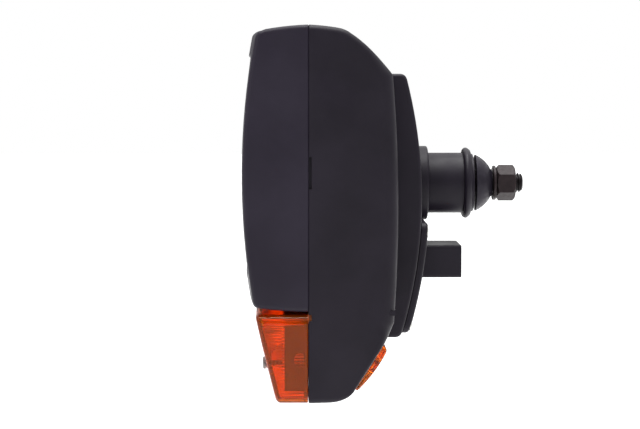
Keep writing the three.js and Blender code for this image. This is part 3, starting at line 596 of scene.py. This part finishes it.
def panel_side(corner=3.5):
    """The raised rear panel's side view, starting inside the housing."""
    points = [(20, PANEL_LOW)]
    low_x, high_x = panel_face(PANEL_LOW), panel_face(PANEL_HIGH)
    points.append((low_x - corner, PANEL_LOW))
    bend(points, (low_x, PANEL_LOW), (panel_face(PANEL_LOW + corner), PANEL_LOW + corner), 6)
    steps = 24
    for i in range(1, steps):
        z = PANEL_LOW + corner + (PANEL_HIGH - PANEL_LOW - 2 * corner) * i / steps
        points.append((panel_face(z), z))
    points.append((panel_face(PANEL_HIGH - corner), PANEL_HIGH - corner))
    bend(points, (high_x, PANEL_HIGH), (high_x - corner, PANEL_HIGH), 6)
    points.append((20, PANEL_HIGH))
    return points


def seam_edge():
    """A frame that takes the sharp corner off the housing's open edge."""
    ring = block("seam_edge", -1, SEAM_BEVEL, -110, 110, -125, 105)
    ends = []
    for x, pull in ((-2, 2 + SEAM_BEVEL), (SEAM_BEVEL + 0.01, -0.01)):
        loop = rounded_loop(HALF_WIDTH - pull, BOTTOM + pull, TOP - pull, EDGE)
        ends.append([(x, y, z) for y, z in loop])
    return cut(ring, make("kept", *loft(ends)))


def add_housing():
    def edge(x, z):
        """The long edges are rounder round the back than along the top, and sharper down the slope."""
        upper = EDGE + 5 * clamp((x - 34) / 12)
        lower = EDGE - 1.6 * clamp((x - 12) / 12)
        return lower + (upper - lower) * clamp((z - SLOPE_HIGH[1]) / 10)

    shell = slab("housing_shell", housing_side(), HALF_WIDTH, edge, steps=10)
    join(shell, slab("panel", panel_side(), PANEL_HALF, 2.0))
    boss = [(50, 27), (60, 27), (63, BOSS_R + 0.6), (65, BOSS_R), (BOSS_END - 1.2, BOSS_R)]
    boss += arc((BOSS_END - 1.2, BOSS_R - 1.2), 1.2, 90, 10, 5)
    join(shell, turned("boss", boss, 96))
    cut(shell, slab("inside", inset(housing_side(14), WALL), HALF_WIDTH - WALL, EDGE - WALL))
    cut(shell, slab("panel_inside", inset(panel_side(), WALL), PANEL_HALF - WALL, 1.0))
    seat = turned("seat", [(50.5, 28), (66, 28), (66, 10), (50.5, 10)], 72, ring=True)
    join(shell, keep(seat, slab("within", panel_side(), PANEL_HALF, 2.0)))
    bore = [(46, SEAT_R + 0.2), (BALL_X, SEAT_R + 0.2)] + arc((BALL_X, 0), SEAT_R, 85, 47, 8)
    bore += [(67.5, BOSS_MOUTH), (BOSS_END - 0.8, BOSS_MOUTH), (BOSS_END + 1, BOSS_MOUTH + 1)]
    cut(shell, turned("bore", bore, 96))
    divide = block("divide", 1, 49, -HALF_WIDTH + 2, HALF_WIDTH - 2, DIVIDE_Z - WALL, DIVIDE_Z)
    join(shell, cut(divide, block("lead_way", 26, 36, -6, 6, DIVIDE_Z - WALL - 1.5, DIVIDE_Z + 1)))
    access = rounded_loop(ACCESS_HALF, ACCESS_LOW, ACCESS_HIGH, 6)
    cut(shell, prism("access", access, 56, 80))
    cut(shell, block("slope_window", -6, 6, -52, 52, -9, 9, SLOPE))
    cut(shell, rod("aim_hole", 50, 70, 3.3, 32, AIM_Y, AIM_Z))
    for side in (-1, 1):
        face = side * HALF_WIDTH
        slot = block("pry_slot", -1, 1.8, face - 2.2, face + 2.2, PRY_SLOT_LOW, PRY_SLOT_HIGH)
        cut(shell, slot)
        inner, outer = sorted((face - side * 1.7, face + side))
        room = block("tab_room", -1, TAB + 0.3, inner, outer, LAMP_TOP - 3.5, LAMP_TOP + 0.3)
        cut(shell, room)
    cut(shell, block("ahead", -20, 0, -120, 120, -130, 110), seam_edge())
    dress(shell, HOUSING, "lamp", "housing_plastic", "rear_housing")


# ---- Bezel and headlamp lens ----

FRONT_X, FRONT_BOW, FRONT_Z, FRONT_RADIUS = -37.0, 3.5, 7.6, 425.0
BEZEL_EDGE = 2.6
WINDOW_HALF, WINDOW_LOW, WINDOW_HIGH, WINDOW_CORNER = 90.0, -49.0, 76.0, 10.0
BEAM_Z = 14.0
BEZEL_SKIN = 3.2
BEZEL_ROUND = 2.6
BEZEL_DEPTH, BEZEL_RIM_X, BEZEL_LOW = 31.0, -29.0, -67.3
BEZEL_INSIDE_LOW, BEZEL_INSIDE_HIGH = -62.2, 87.4


def bezel_face(y, z):
    return FRONT_X - FRONT_BOW * (1 - (y / HALF_WIDTH) ** 2) + (z - FRONT_Z) ** 2 / (2 * FRONT_RADIUS)


def add_bezel():
    def around(x, pull):
        """The skin's section at x, moved inwards by pull."""
        share = -x / BEZEL_DEPTH
        high = TOP - 1.1 * share - 2.84 * share**2
        low = BEZEL_LOW + 0.9 * share + 1.6 * share**3
        return rounded_loop(HALF_WIDTH - pull, low + pull, high - pull, BEZEL_ROUND)

    def flat(x, pull):
        return [(x, y, z) for y, z in around(x, pull)]

    def bowed(depth, loop):
        return [(bezel_face(y, z) + depth, y, z) for y, z in loop]

    loops = [flat(0, SEAM_BEVEL)] + [flat(-SEAM_BEVEL - 4.7 * i, 0) for i in range(6)]
    for i in range(9):
        angle = math.pi / 2 * i / 8
        loop = around(BEZEL_RIM_X, BEZEL_EDGE * (1 - math.cos(angle)))
        loops.append(bowed(BEZEL_EDGE * (1 - math.sin(angle)), loop))
    rim = around(BEZEL_RIM_X, BEZEL_EDGE)
    lip = 1.6

    def window(grow):
        low, high = WINDOW_LOW - grow, WINDOW_HIGH + grow
        return rounded_loop(WINDOW_HALF + grow, low, high, WINDOW_CORNER + grow)

    for share in (0.5, 1.0):
        between = [tuple(a + (b - a) * share for a, b in zip(p, q)) for p, q in zip(rim, window(lip))]
        loops.append(bowed(0, between))
    for i in range(1, 6):
        angle = math.pi / 2 * i / 5
        loops.append(bowed(lip * (1 - math.cos(angle)), window(lip * (1 - math.sin(angle)))))
    loops.append(bowed(BEZEL_SKIN, window(0)))
    inner = rounded_loop(HALF_WIDTH - 3, BEZEL_INSIDE_LOW, BEZEL_INSIDE_HIGH, 6)
    loops.append(bowed(BEZEL_SKIN, inner))
    loops.append([(0, y, z) for y, z in inner])
    frame_piece = make("bezel_frame", *loft(loops, closed=True))
    dress(frame_piece, BEZEL, "lamp", "bezel_plastic", "front_bezel")


def grid(name, front, back, ys, zs):
    """The closed block between two surfaces x = front(y, z) and x = back(y, z)."""
    columns, rows = len(ys), len(zs)
    verts = [(surface(y, z), y, z) for surface in (front, back) for z in zs for y in ys]
    layer = columns * rows
    faces = []
    for j in range(rows - 1):
        for i in range(columns - 1):
            a = j * columns + i
            faces.append((a, a + columns, a + columns + 1, a + 1))
            faces.append((layer + a, layer + a + 1, layer + a + columns + 1, layer + a + columns))
    edge = [i for i in range(columns)]
    edge += [j * columns + columns - 1 for j in range(1, rows)]
    edge += [(rows - 1) * columns + i for i in range(columns - 2, -1, -1)]
    edge += [j * columns for j in range(rows - 2, 0, -1)]
    for a, b in zip(edge, edge[1:] + edge[:1]):
        faces.append((a, b, layer + b, layer + a))
    return make(name, verts, faces)


def spread(low, high, count):
    return [low + (high - low) * i / count for i in range(count + 1)]


def add_headlamp_lens():
    """Smooth outside; inside, upright flutes that fade out towards the middle of the beam."""
    low, high = low_high("headlamp_lens")
    thick, pitch = 3.2, 6.0
    deep_flute, shallow_flute, shallow_half = 0.7, 0.25, 13.0

    def outside(y, z):
        return bezel_face(y, z) + BEZEL_SKIN + 0.3

    def inside(y, z):
        depth = deep_flute if abs(z - BEAM_Z) > shallow_half else shallow_flute
        return outside(y, z) + thick - depth * (0.5 + 0.5 * math.cos(2 * math.pi * y / pitch))

    ys, zs = spread(low.y, high.y, 248), spread(low.z, high.z, 40)
    lens = grid("headlamp_glass", outside, inside, ys, zs)
    dress(lens, GLASS, "lamp", "clear_glass", "headlamp_lens", crease=50)


# ---- Indicator lenses ----

FLUTE_FROM = -14.5


def lamp_face(y, z):
    """The front indicator leans back towards its foot, and bows across except along its top edge."""
    drop = LAMP_TOP - z
    bow = LAMP_BOW * clamp(drop / LAMP_BOW_FADE)
    return LAMP_X + drop * LAMP_RAKE - bow * (1 - (y / HALF_WIDTH) ** 2)


def add_front_lens():
    """Amber shell with stepped ridges under its top edge and fine flutes on the rear half of its ends."""
    half = low_high("front_indicator_lens")[1].y
    edge = 2.4

    def around(pull):
        return rounded_loop(half - pull, LAMP_BOTTOM + pull, LAMP_TOP - pull, 4)

    loops = [[(-0.3, y, z) for y, z in around(0.3)], [(-0.6, y, z) for y, z in around(0)]]
    for i in range(8):
        angle = math.pi / 2 * i / 7
        loop = around(edge * (1 - math.cos(angle)))
        loops.append([(lamp_face(y, z) + edge * (1 - math.sin(angle)), y, z) for y, z in loop])
    lens = make("front_lens", *loft(loops, caps=(None, 0)))
    flute, pitch, step, stepped = 0.35, 1.9, 1.4, 4.3
    room = half - LAMP_WALL
    low, high = LAMP_BOTTOM + LAMP_WALL, LAMP_TOP - LAMP_WALL
    levels = []
    for z in spread(low, high, 200):
        wave = flute * abs(math.sin(math.pi * (z - low) / pitch))
        thick = 0.0
        if high - z < stepped:
            thick = 1.3 - 1.0 * abs(math.sin(math.pi * (high - z) / step))
        front = []
        for y in spread(-room + thick, room - thick, 24):
            front.append((lamp_face(y, z) + LAMP_WALL + thick + 1.6 * wave, y, z))
        side = room - thick
        right = [(FLUTE_FROM - 0.6, side, z), (FLUTE_FROM, side + wave, z), (2, side + wave, z)]
        left = [(x, -y, z) for x, y, z in reversed(right)]
        levels.append(front + right + left)
    cut(lens, make("lens_hollow", *loft(levels)))
    for side in (-1, 1):
        outer, inner = side * half, side * (half - 1.4)
        low_y, high_y = sorted((outer, inner))
        join(lens, block("tab", -0.6, TAB, low_y, high_y, LAMP_TOP - 3.2, LAMP_TOP))
    for y in (-FRONT_SCREW_Y, FRONT_SCREW_Y):
        seat = lamp_face(y, FRONT_SCREW_Z) + 1.5
        cut(lens, rod("screw_hole", -60, -10, 2.4, 32, y, FRONT_SCREW_Z))
        cut(lens, rod("head_room", -60, seat, 4.2, 40, y, FRONT_SCREW_Z))
    dress(lens, AMBER, "lamp", "amber_plastic", "front_indicator_lens", crease=26)


def add_front_tray():
    """The metallised plate behind the front bulb, and a dark red-brown shroud with a window at each end, a
    sheet of painted shade inside the lamp.
    """
    half = low_high("front_indicator_lens")[1].y

    def around(pull, corner):
        return rounded_loop(half - pull, LAMP_BOTTOM + pull, LAMP_TOP - pull, corner)

    plate = prism("plate", around(3.1, 2), 0.3, 2)
    cut(plate, rod("bulb_way", -1, 3, 12.5, 64, FRONT_BULB_Y, FRONT_BULB_Z))
    for y in (-FRONT_SCREW_Y, FRONT_SCREW_Y):
        cut(plate, rod("screw_way", -1, 4, 2.4, 24, y, FRONT_SCREW_Z))
    dress(plate, MIRROR, "lamp", "reflector_mirror", "front_indicator_reflector")
    loops = []
    for x, pull in ((0, 5.3), (-13, 5.8), (-13.6, 6.1), (-13.6, 6.5), (-13, 6.9), (0, 6.6)):
        loops.append([(x, y, z) for y, z in around(pull, 2)])
    shade_lining = make("painted_shade_lining", *loft(loops, closed=True))
    for side in (-1, 1):
        turn = Matrix.Translation((-4.4, side * half, -95)) @ Matrix.Rotation(math.pi / 2, 4, "Z")
        cut(shade_lining, rod("window", -16, 16, 3.9, 40, matrix=turn))
    dress(shade_lining, PAINTED_SHADE_LINING, "lamp", "housing_plastic")


REAR_HALF, REAR_LOW, REAR_HIGH, REAR_RISE, REAR_SEAT = 68.0, -16.5, 14.3, 7.6, 4.2


def add_rear_lens():
    """Smooth outside, ridged inside; its ribs run across the lamp."""
    outline = [(0.3, REAR_LOW), (REAR_RISE - 3.0, REAR_LOW)]
    bend(outline, (REAR_RISE - 2.2, REAR_LOW), (REAR_RISE - 1.9, REAR_LOW + 1.4), 4)
    bend(outline, (REAR_RISE + 1.2, -2), (REAR_RISE, REAR_HIGH - 3), 16)
    bend(outline, (REAR_RISE - 0.5, REAR_HIGH - 0.4), (REAR_RISE - 3.9, REAR_HIGH), 6)
    outline.append((0.3, REAR_HIGH))
    lens = slab("rear_lens", outline, REAR_HALF, 1.6, SLOPE)
    ridge = 3.9
    low, high = REAR_LOW + 2.6, REAR_HIGH - 1.6
    top = []
    for z in spread(low, high, 66):
        wave = abs(((z / ridge) % 1) * 2 - 1)
        roof = REAR_RISE - 2.6 - 0.017 * (z - 1) ** 2
        top.append((roof - 1.1 * wave, z))
    hollow = [(-1, low)] + top + [(-1, high)]
    cut(lens, slab("rear_hollow", hollow, REAR_HALF - 10, 0.2, SLOPE, steps=1))
    for y in (-REAR_SCREW_Y, REAR_SCREW_Y):
        cut(lens, rod("seat", REAR_SEAT, 10, 4.2, 32, y, 0, SLOPE))
        cut(lens, rod("hole", -2, 10, 2.2, 24, y, 0, SLOPE))
    dress(lens, AMBER, "lamp", "amber_plastic", "rear_indicator_lens", crease=26)


# ---- Cover and connector ----


def add_cover():
    rise, under, edge = 4.7, 1.6, 2.2
    loops = []
    stations = [(under, 0.95), (0.5, 0.9), (0.5, 0.25), (0.75, 0), (rise - edge, 0)]
    stations += [
        (rise - edge + edge * math.sin(a), edge * (1 - math.cos(a)))
        for a in (math.pi / 2 * i / 7 for i in range(1, 8))
    ]
    stations += [(rise, 5.5), (rise - 0.5, 6.0), (rise - 0.5, 7.4), (rise, 7.9)]
    for height, pull in stations:
        low, high, corner = COVER_LOW + pull, COVER_HIGH - pull, max(5 - pull, 0.8)
        loop = rounded_loop(COVER_HALF - pull, low, high, corner, rise=14)
        loops.append([(panel_face(z) + height, y, z) for y, z in loop])
    quarter = len(loops[0]) // 4
    cover = make("cover_plate", *loft(loops, caps=(quarter, quarter)))
    cut(cover, rod("boss_room", 50, 90, BOSS_R + 0.6, 96))
    cut(cover, prism("wires", rounded_loop(15, -54, -40, 2), 50, 90))
    for y, z in COVER_SCREWS:
        cut(cover, rod("sink", panel_face(z) + under + 1.2, 90, 4.6, 40, y, z))
        cut(cover, rod("hole", 50, 90, 2.3, 24, y, z))
    dress(cover, HOUSING, "lamp", "housing_plastic", "rear_cover")


PLUG_HALF, PLUG_LOW, PLUG_HIGH, PLUG_END, PLUG_FLOOR = 19.0, -56.4, -36.9, 93.4, 76.0


def add_connector():
    def at(x, pull, corner):
        loop = rounded_loop(PLUG_HALF - pull, PLUG_LOW + pull, PLUG_HIGH - pull, corner)
        return [(x, y, z) for y, z in loop]

    outline = rounded_loop(PLUG_HALF, PLUG_LOW, PLUG_HIGH, 1.5)
    root = [(panel_face(z) + 4.9, y, z) for y, z in outline]
    loops = [root, at(PLUG_END - 0.5, 0, 1.5), at(PLUG_END - 0.15, 0.15, 1.4), at(PLUG_END, 0.5, 1.2)]
    loops += [at(PLUG_END, 1.6, 1.0), at(PLUG_END - 0.4, 2, 0.8), at(PLUG_FLOOR, 2, 0.8)]
    body = make("connector_body", *loft(loops, caps=(len(root) // 4, None)))
    for y in (-7.5, 7.5):
        low, high = PLUG_HIGH - 3.2, PLUG_HIGH - 1
        join(body, block("key", PLUG_FLOOR - 1, PLUG_END - 2, y - 0.7, y + 0.7, low, high))
    dress(body, HOUSING, "lamp", "housing_plastic", "connector_housing")


# ---- Ball stud and its fasteners ----

BALL_R, NECK_R, STUD_R, STUD_END = 13.0, 7.0, 6.0, 131.9
THREAD_FROM, THREAD_PITCH, THREAD_DEPTH = 108.6, 1.75, 1.0
NUT_FROM, NUT_TO, NUT_FLATS = 116.0, 127.2, 19.0
SLEEVE_FROM, SLEEVE_TO, SLEEVE_R = 70.0, 97.0, 18.35
RING_FROM, RING_TO, RING_R = 94.9, 101.3, 21.5


def add_stud():
    """The ball and neck are turned; the shank carries a helical M12 thread with a rounded lead-in."""
    segments = 48
    profile = arc((BALL_X, 0), BALL_R, 180, 33, 30)
    profile += [(SLEEVE_FROM - 0.3, NECK_R), (SLEEVE_FROM - 0.3, STUD_R), (THREAD_FROM - 0.6, STUD_R)]
    loops = []
    for x, r in profile:
        angles = [2 * math.pi * i / segments for i in range(segments)]
        loops.append([(x, r * math.cos(a), r * math.sin(a)) for a in angles])
    steps = round((STUD_END - THREAD_FROM) / THREAD_PITCH * 12)
    for x in spread(THREAD_FROM, STUD_END, steps):
        lead_in = STUD_R - max(0.0, x - STUD_END + 1.9) ** 2 * 0.55
        ring = []
        for i in range(segments):
            turn = i / segments
            phase = (x / THREAD_PITCH - turn) % 1
            crest = min(1.0, max(0.0, 1.5 - abs(phase * 2 - 1) * 2.2))
            r = min(STUD_R - THREAD_DEPTH * (1 - crest), lead_in)
            ring.append((x, r * math.cos(2 * math.pi * turn), r * math.sin(2 * math.pi * turn)))
        loops.append(ring)
    stud = make("stud", *loft(loops))
    dress(stud, THREAD_STEEL, "stud_mount", "black_steel", "ball_stud", crease=40)


def add_sleeve_and_ring():
    bore = STUD_R + 0.3
    profile = [(SLEEVE_FROM, bore), (SLEEVE_FROM, SLEEVE_R - 0.8)]
    profile += arc((SLEEVE_FROM + 0.8, SLEEVE_R - 0.8), 0.8, 180, 90, 4)[1:]
    profile += [(SLEEVE_TO, SLEEVE_R), (SLEEVE_TO, bore)]
    sleeve = turned("sleeve", profile, 96, ring=True)
    dress(sleeve, HOUSING, "stud_mount", "housing_plastic", "mount_sleeve")
    bead = (RING_FROM + 2.1, RING_R - 2.1)
    profile = [(RING_FROM, SLEEVE_R + 0.3)] + arc(bead, 2.1, 176, 62, 12)
    profile += [(RING_FROM + 4.6, RING_R - 1.5), (RING_TO - 1.3, RING_R - 2.8)]
    profile += [(RING_TO - 1.2, RING_R - 3.9), (RING_TO - 0.2, RING_R - 3.9), (RING_TO, RING_R - 4.1)]
    profile += [(RING_TO, bore), (SLEEVE_TO + 0.3, bore), (SLEEVE_TO + 0.3, SLEEVE_R + 0.3)]
    ring = turned("flange", profile, 96, ring=True)
    dress(ring, HOUSING, "stud_mount", "rubber", "flange_ring")


def add_washers():
    bore = STUD_R + 0.3
    dome = [(102.7, bore), (102.7, 16.7), (102.9, 17.2), (103.4, 17.1)]
    dome += arc((95.8, 0), 18.6, 64, 31, 14) + [(112.2, 8.6), (113, 8.1), (113, bore)]
    washer = turned("dome", dome, 96, ring=True)
    dress(washer, BLUED_STEEL, "stud_mount", "black_steel", "domed_washer")
    low, high = low_high("spring_washer")
    outer, rise, steps, gap = high.y, 0.35, 90, math.radians(9)
    loops = []
    for k in range(steps + 1):
        turn = -math.pi / 2 + gap / 2 + (2 * math.pi - gap) * k / steps
        lift = rise * (k / steps - 0.5)
        section = [(low.x + 0.35, bore), (low.x + 0.35, outer - 0.4), (low.x + 0.7, outer)]
        section += [(high.x - 0.7, outer), (high.x - 0.35, outer - 0.4), (high.x - 0.35, bore)]
        loops.append([(x + lift, r * math.cos(turn), r * math.sin(turn)) for x, r in section])
    split = make("split_washer", *loft(loops))
    dress(split, BLACK_STEEL, "stud_mount", "black_steel", "spring_washer")


def add_nut():
    corner = NUT_FLATS / math.sqrt(3)
    corners = [math.radians(30 + 60 * i) for i in range(6)]
    hexagon = [(corner * math.cos(a), corner * math.sin(a)) for a in corners]
    nut = prism("nut", hexagon, NUT_FROM, NUT_TO)
    chamfer = [(NUT_FROM, corner - 1.7), (NUT_FROM + 1.3, corner + 0.05)]
    chamfer += [(NUT_TO - 1.3, corner + 0.05), (NUT_TO, corner - 1.7)]
    keep(nut, turned("chamfer", chamfer, 120))
    bore = [(NUT_FROM - 1, STUD_R + 1.6), (NUT_FROM + 1, STUD_R + 0.3)]
    bore += [(NUT_TO - 1, STUD_R + 0.3), (NUT_TO + 1, STUD_R + 1.6)]
    cut(nut, turned("bore", bore, 64))
    dress(nut, BLACK_STEEL, "stud_mount", "black_steel", "hex_nut", crease=20)


# ---- Screws ----


def screw(node, x, y, z, head_r, head, shank_r, length, material, slot, matrix=None):
    """A pan-head screw with a cross recess; its head's top is at x + head and it points along -X."""
    way = 1 if head > 0 else -1
    tall = abs(head)
    profile = [(0, shank_r), (0, head_r - 0.15), (0.15, head_r), (tall * 0.45, head_r)]
    profile += [(tall * 0.75, head_r * 0.9), (tall * 0.93, head_r * 0.68), (tall, head_r * 0.35)]
    turns = 14
    for i in range(turns * 2 + 1):
        depth = 0.02 + (length - 1.2) * i / (turns * 2)
        profile.insert(0, (-depth, shank_r * (1.0 if i % 2 else 0.8)))
    profile.insert(0, (-length, 0.25))
    made = turned("screw", [(x + way * d, r) for d, r in profile], 32, y, z, matrix)
    for a, b in ((0.3, 0.62), (0.62, 0.3)):
        low, high = sorted((x + way * tall * 0.35, x + way * (tall + 1)))
        wide, high_arm = head_r * a, head_r * b
        cut(made, block("recess", low, high, y - wide, y + wide, z - high_arm, z + high_arm, matrix))
    dress(made, material, "lamp", slot, node, crease=30)


def add_screws():
    slot = "zinc_steel"
    for i, y in enumerate((-FRONT_SCREW_Y, FRONT_SCREW_Y)):
        node, seat = f"front_indicator_screw_{i + 1}", lamp_face(y, FRONT_SCREW_Z) + 1.2
        # These front screws take the darker zinc copy, which paints the shade in their recesses.
        screw(node, seat, y, FRONT_SCREW_Z, 3.8, -1.9, 1.9, 30, ZINC_PAINTED_SHADE, slot)
    for i, y in enumerate((-REAR_SCREW_Y, REAR_SCREW_Y)):
        node, seat = f"rear_indicator_screw_{i + 1}", REAR_SEAT + 0.3
        screw(node, seat, y, 0, 3.4, 1.4, 1.45, 13.8, ZINC, slot, SLOPE)
    for i, (y, z) in enumerate(COVER_SCREWS):
        node, seat = f"rear_cover_screw_{i + 1}", panel_face(z) + 3.6
        screw(node, seat, y, z, 4.1, 1.6, 1.95, 13.8, ZINC, slot)


# ---- Reflector ----

FOCAL, VERTEX_X = 28.0, 22.0
RIM_X, RIM_HALF, RIM_TALL, SHELL, BOWL_SKIN = -21.0, 89.0, 58.0, 2.0, 1.5
PIVOT_X, PIVOT_Y, NUT_X, POSITION_Z = 8.0, 90.8, 11.0, -24.0


def add_reflector():
    """A paraboloid cut to the window's shape, with its flange, bulb collar, pivot ears and aim lug."""

    def paraboloid(offset, x):
        vertex = VERTEX_X + offset
        deepest = math.sqrt(4 * FOCAL * (vertex - x))
        profile = [(vertex - r**2 / (4 * FOCAL), max(r, 0.01)) for r in spread(0, deepest, 30)]
        return turned("reflector_bowl", profile, 128, 0, BEAM_Z)

    def bounded(x0, x1, shrink):
        wide, tall = RIM_HALF - shrink, RIM_TALL - shrink
        return block("bounds", x0, x1, -wide, wide, BEAM_Z - tall, BEAM_Z + tall)

    body = keep(paraboloid(BOWL_SKIN, RIM_X - 8), bounded(RIM_X, 40, 0))
    join(body, bounded(RIM_X, RIM_X + SHELL, 0))
    join(body, rod("collar", 15, 23, 25, 64, 0, BEAM_Z), rod("boss", 2, 17.5, 10, 48, 0, POSITION_Z))
    for side in (-1, 1):
        y = side * PIVOT_Y
        ear = block("ear", RIM_X, PIVOT_X + 6, y - 2.3, y + 2.3, BEAM_Z - 6, BEAM_Z + 6)
        turn = Matrix.Translation((PIVOT_X, y, BEAM_Z)) @ Matrix.Rotation(math.pi / 2, 4, "Z")
        join(body, cut(ear, rod("ear_hole", -4, 4, 2.6, 32, matrix=turn)))
    lug = block("lug", NUT_X - 7, NUT_X + 7, AIM_Y - 7.5, AIM_Y + 7.5, AIM_Z - 7.5, AIM_Z + 7)
    room = (NUT_X - 3.9, NUT_X + 3.9, AIM_Y - 4.9, AIM_Y + 4.9, AIM_Z - 4.9, AIM_Z + 10)
    cut(lug, block("nut_room", *room), rod("screw_way", -5, 30, 3.4, 32, AIM_Y, AIM_Z))
    join(body, lug, block("web", -16, NUT_X - 6, AIM_Y - 2, AIM_Y + 2, AIM_Z - 18, AIM_Z - 3.6))
    hollow = keep(paraboloid(0, RIM_X - 10), bounded(RIM_X - 1, 40, SHELL))
    cut(body, hollow, rod("bulb_hole", -5, 40, 19, 64, 0, BEAM_Z))
    cut(body, rod("position_hole", -20, 40, 7, 40, 0, POSITION_Z))
    dress(body, MIRROR, "reflector_unit", "reflector_mirror", "reflector", crease=40)


add_housing()
add_bezel()
add_headlamp_lens()
add_front_lens()
add_front_tray()
add_rear_lens()
add_cover()
add_connector()
add_stud()
add_sleeve_and_ring()
add_washers()
add_nut()
add_screws()
add_reflector()
dress_cad_nodes()
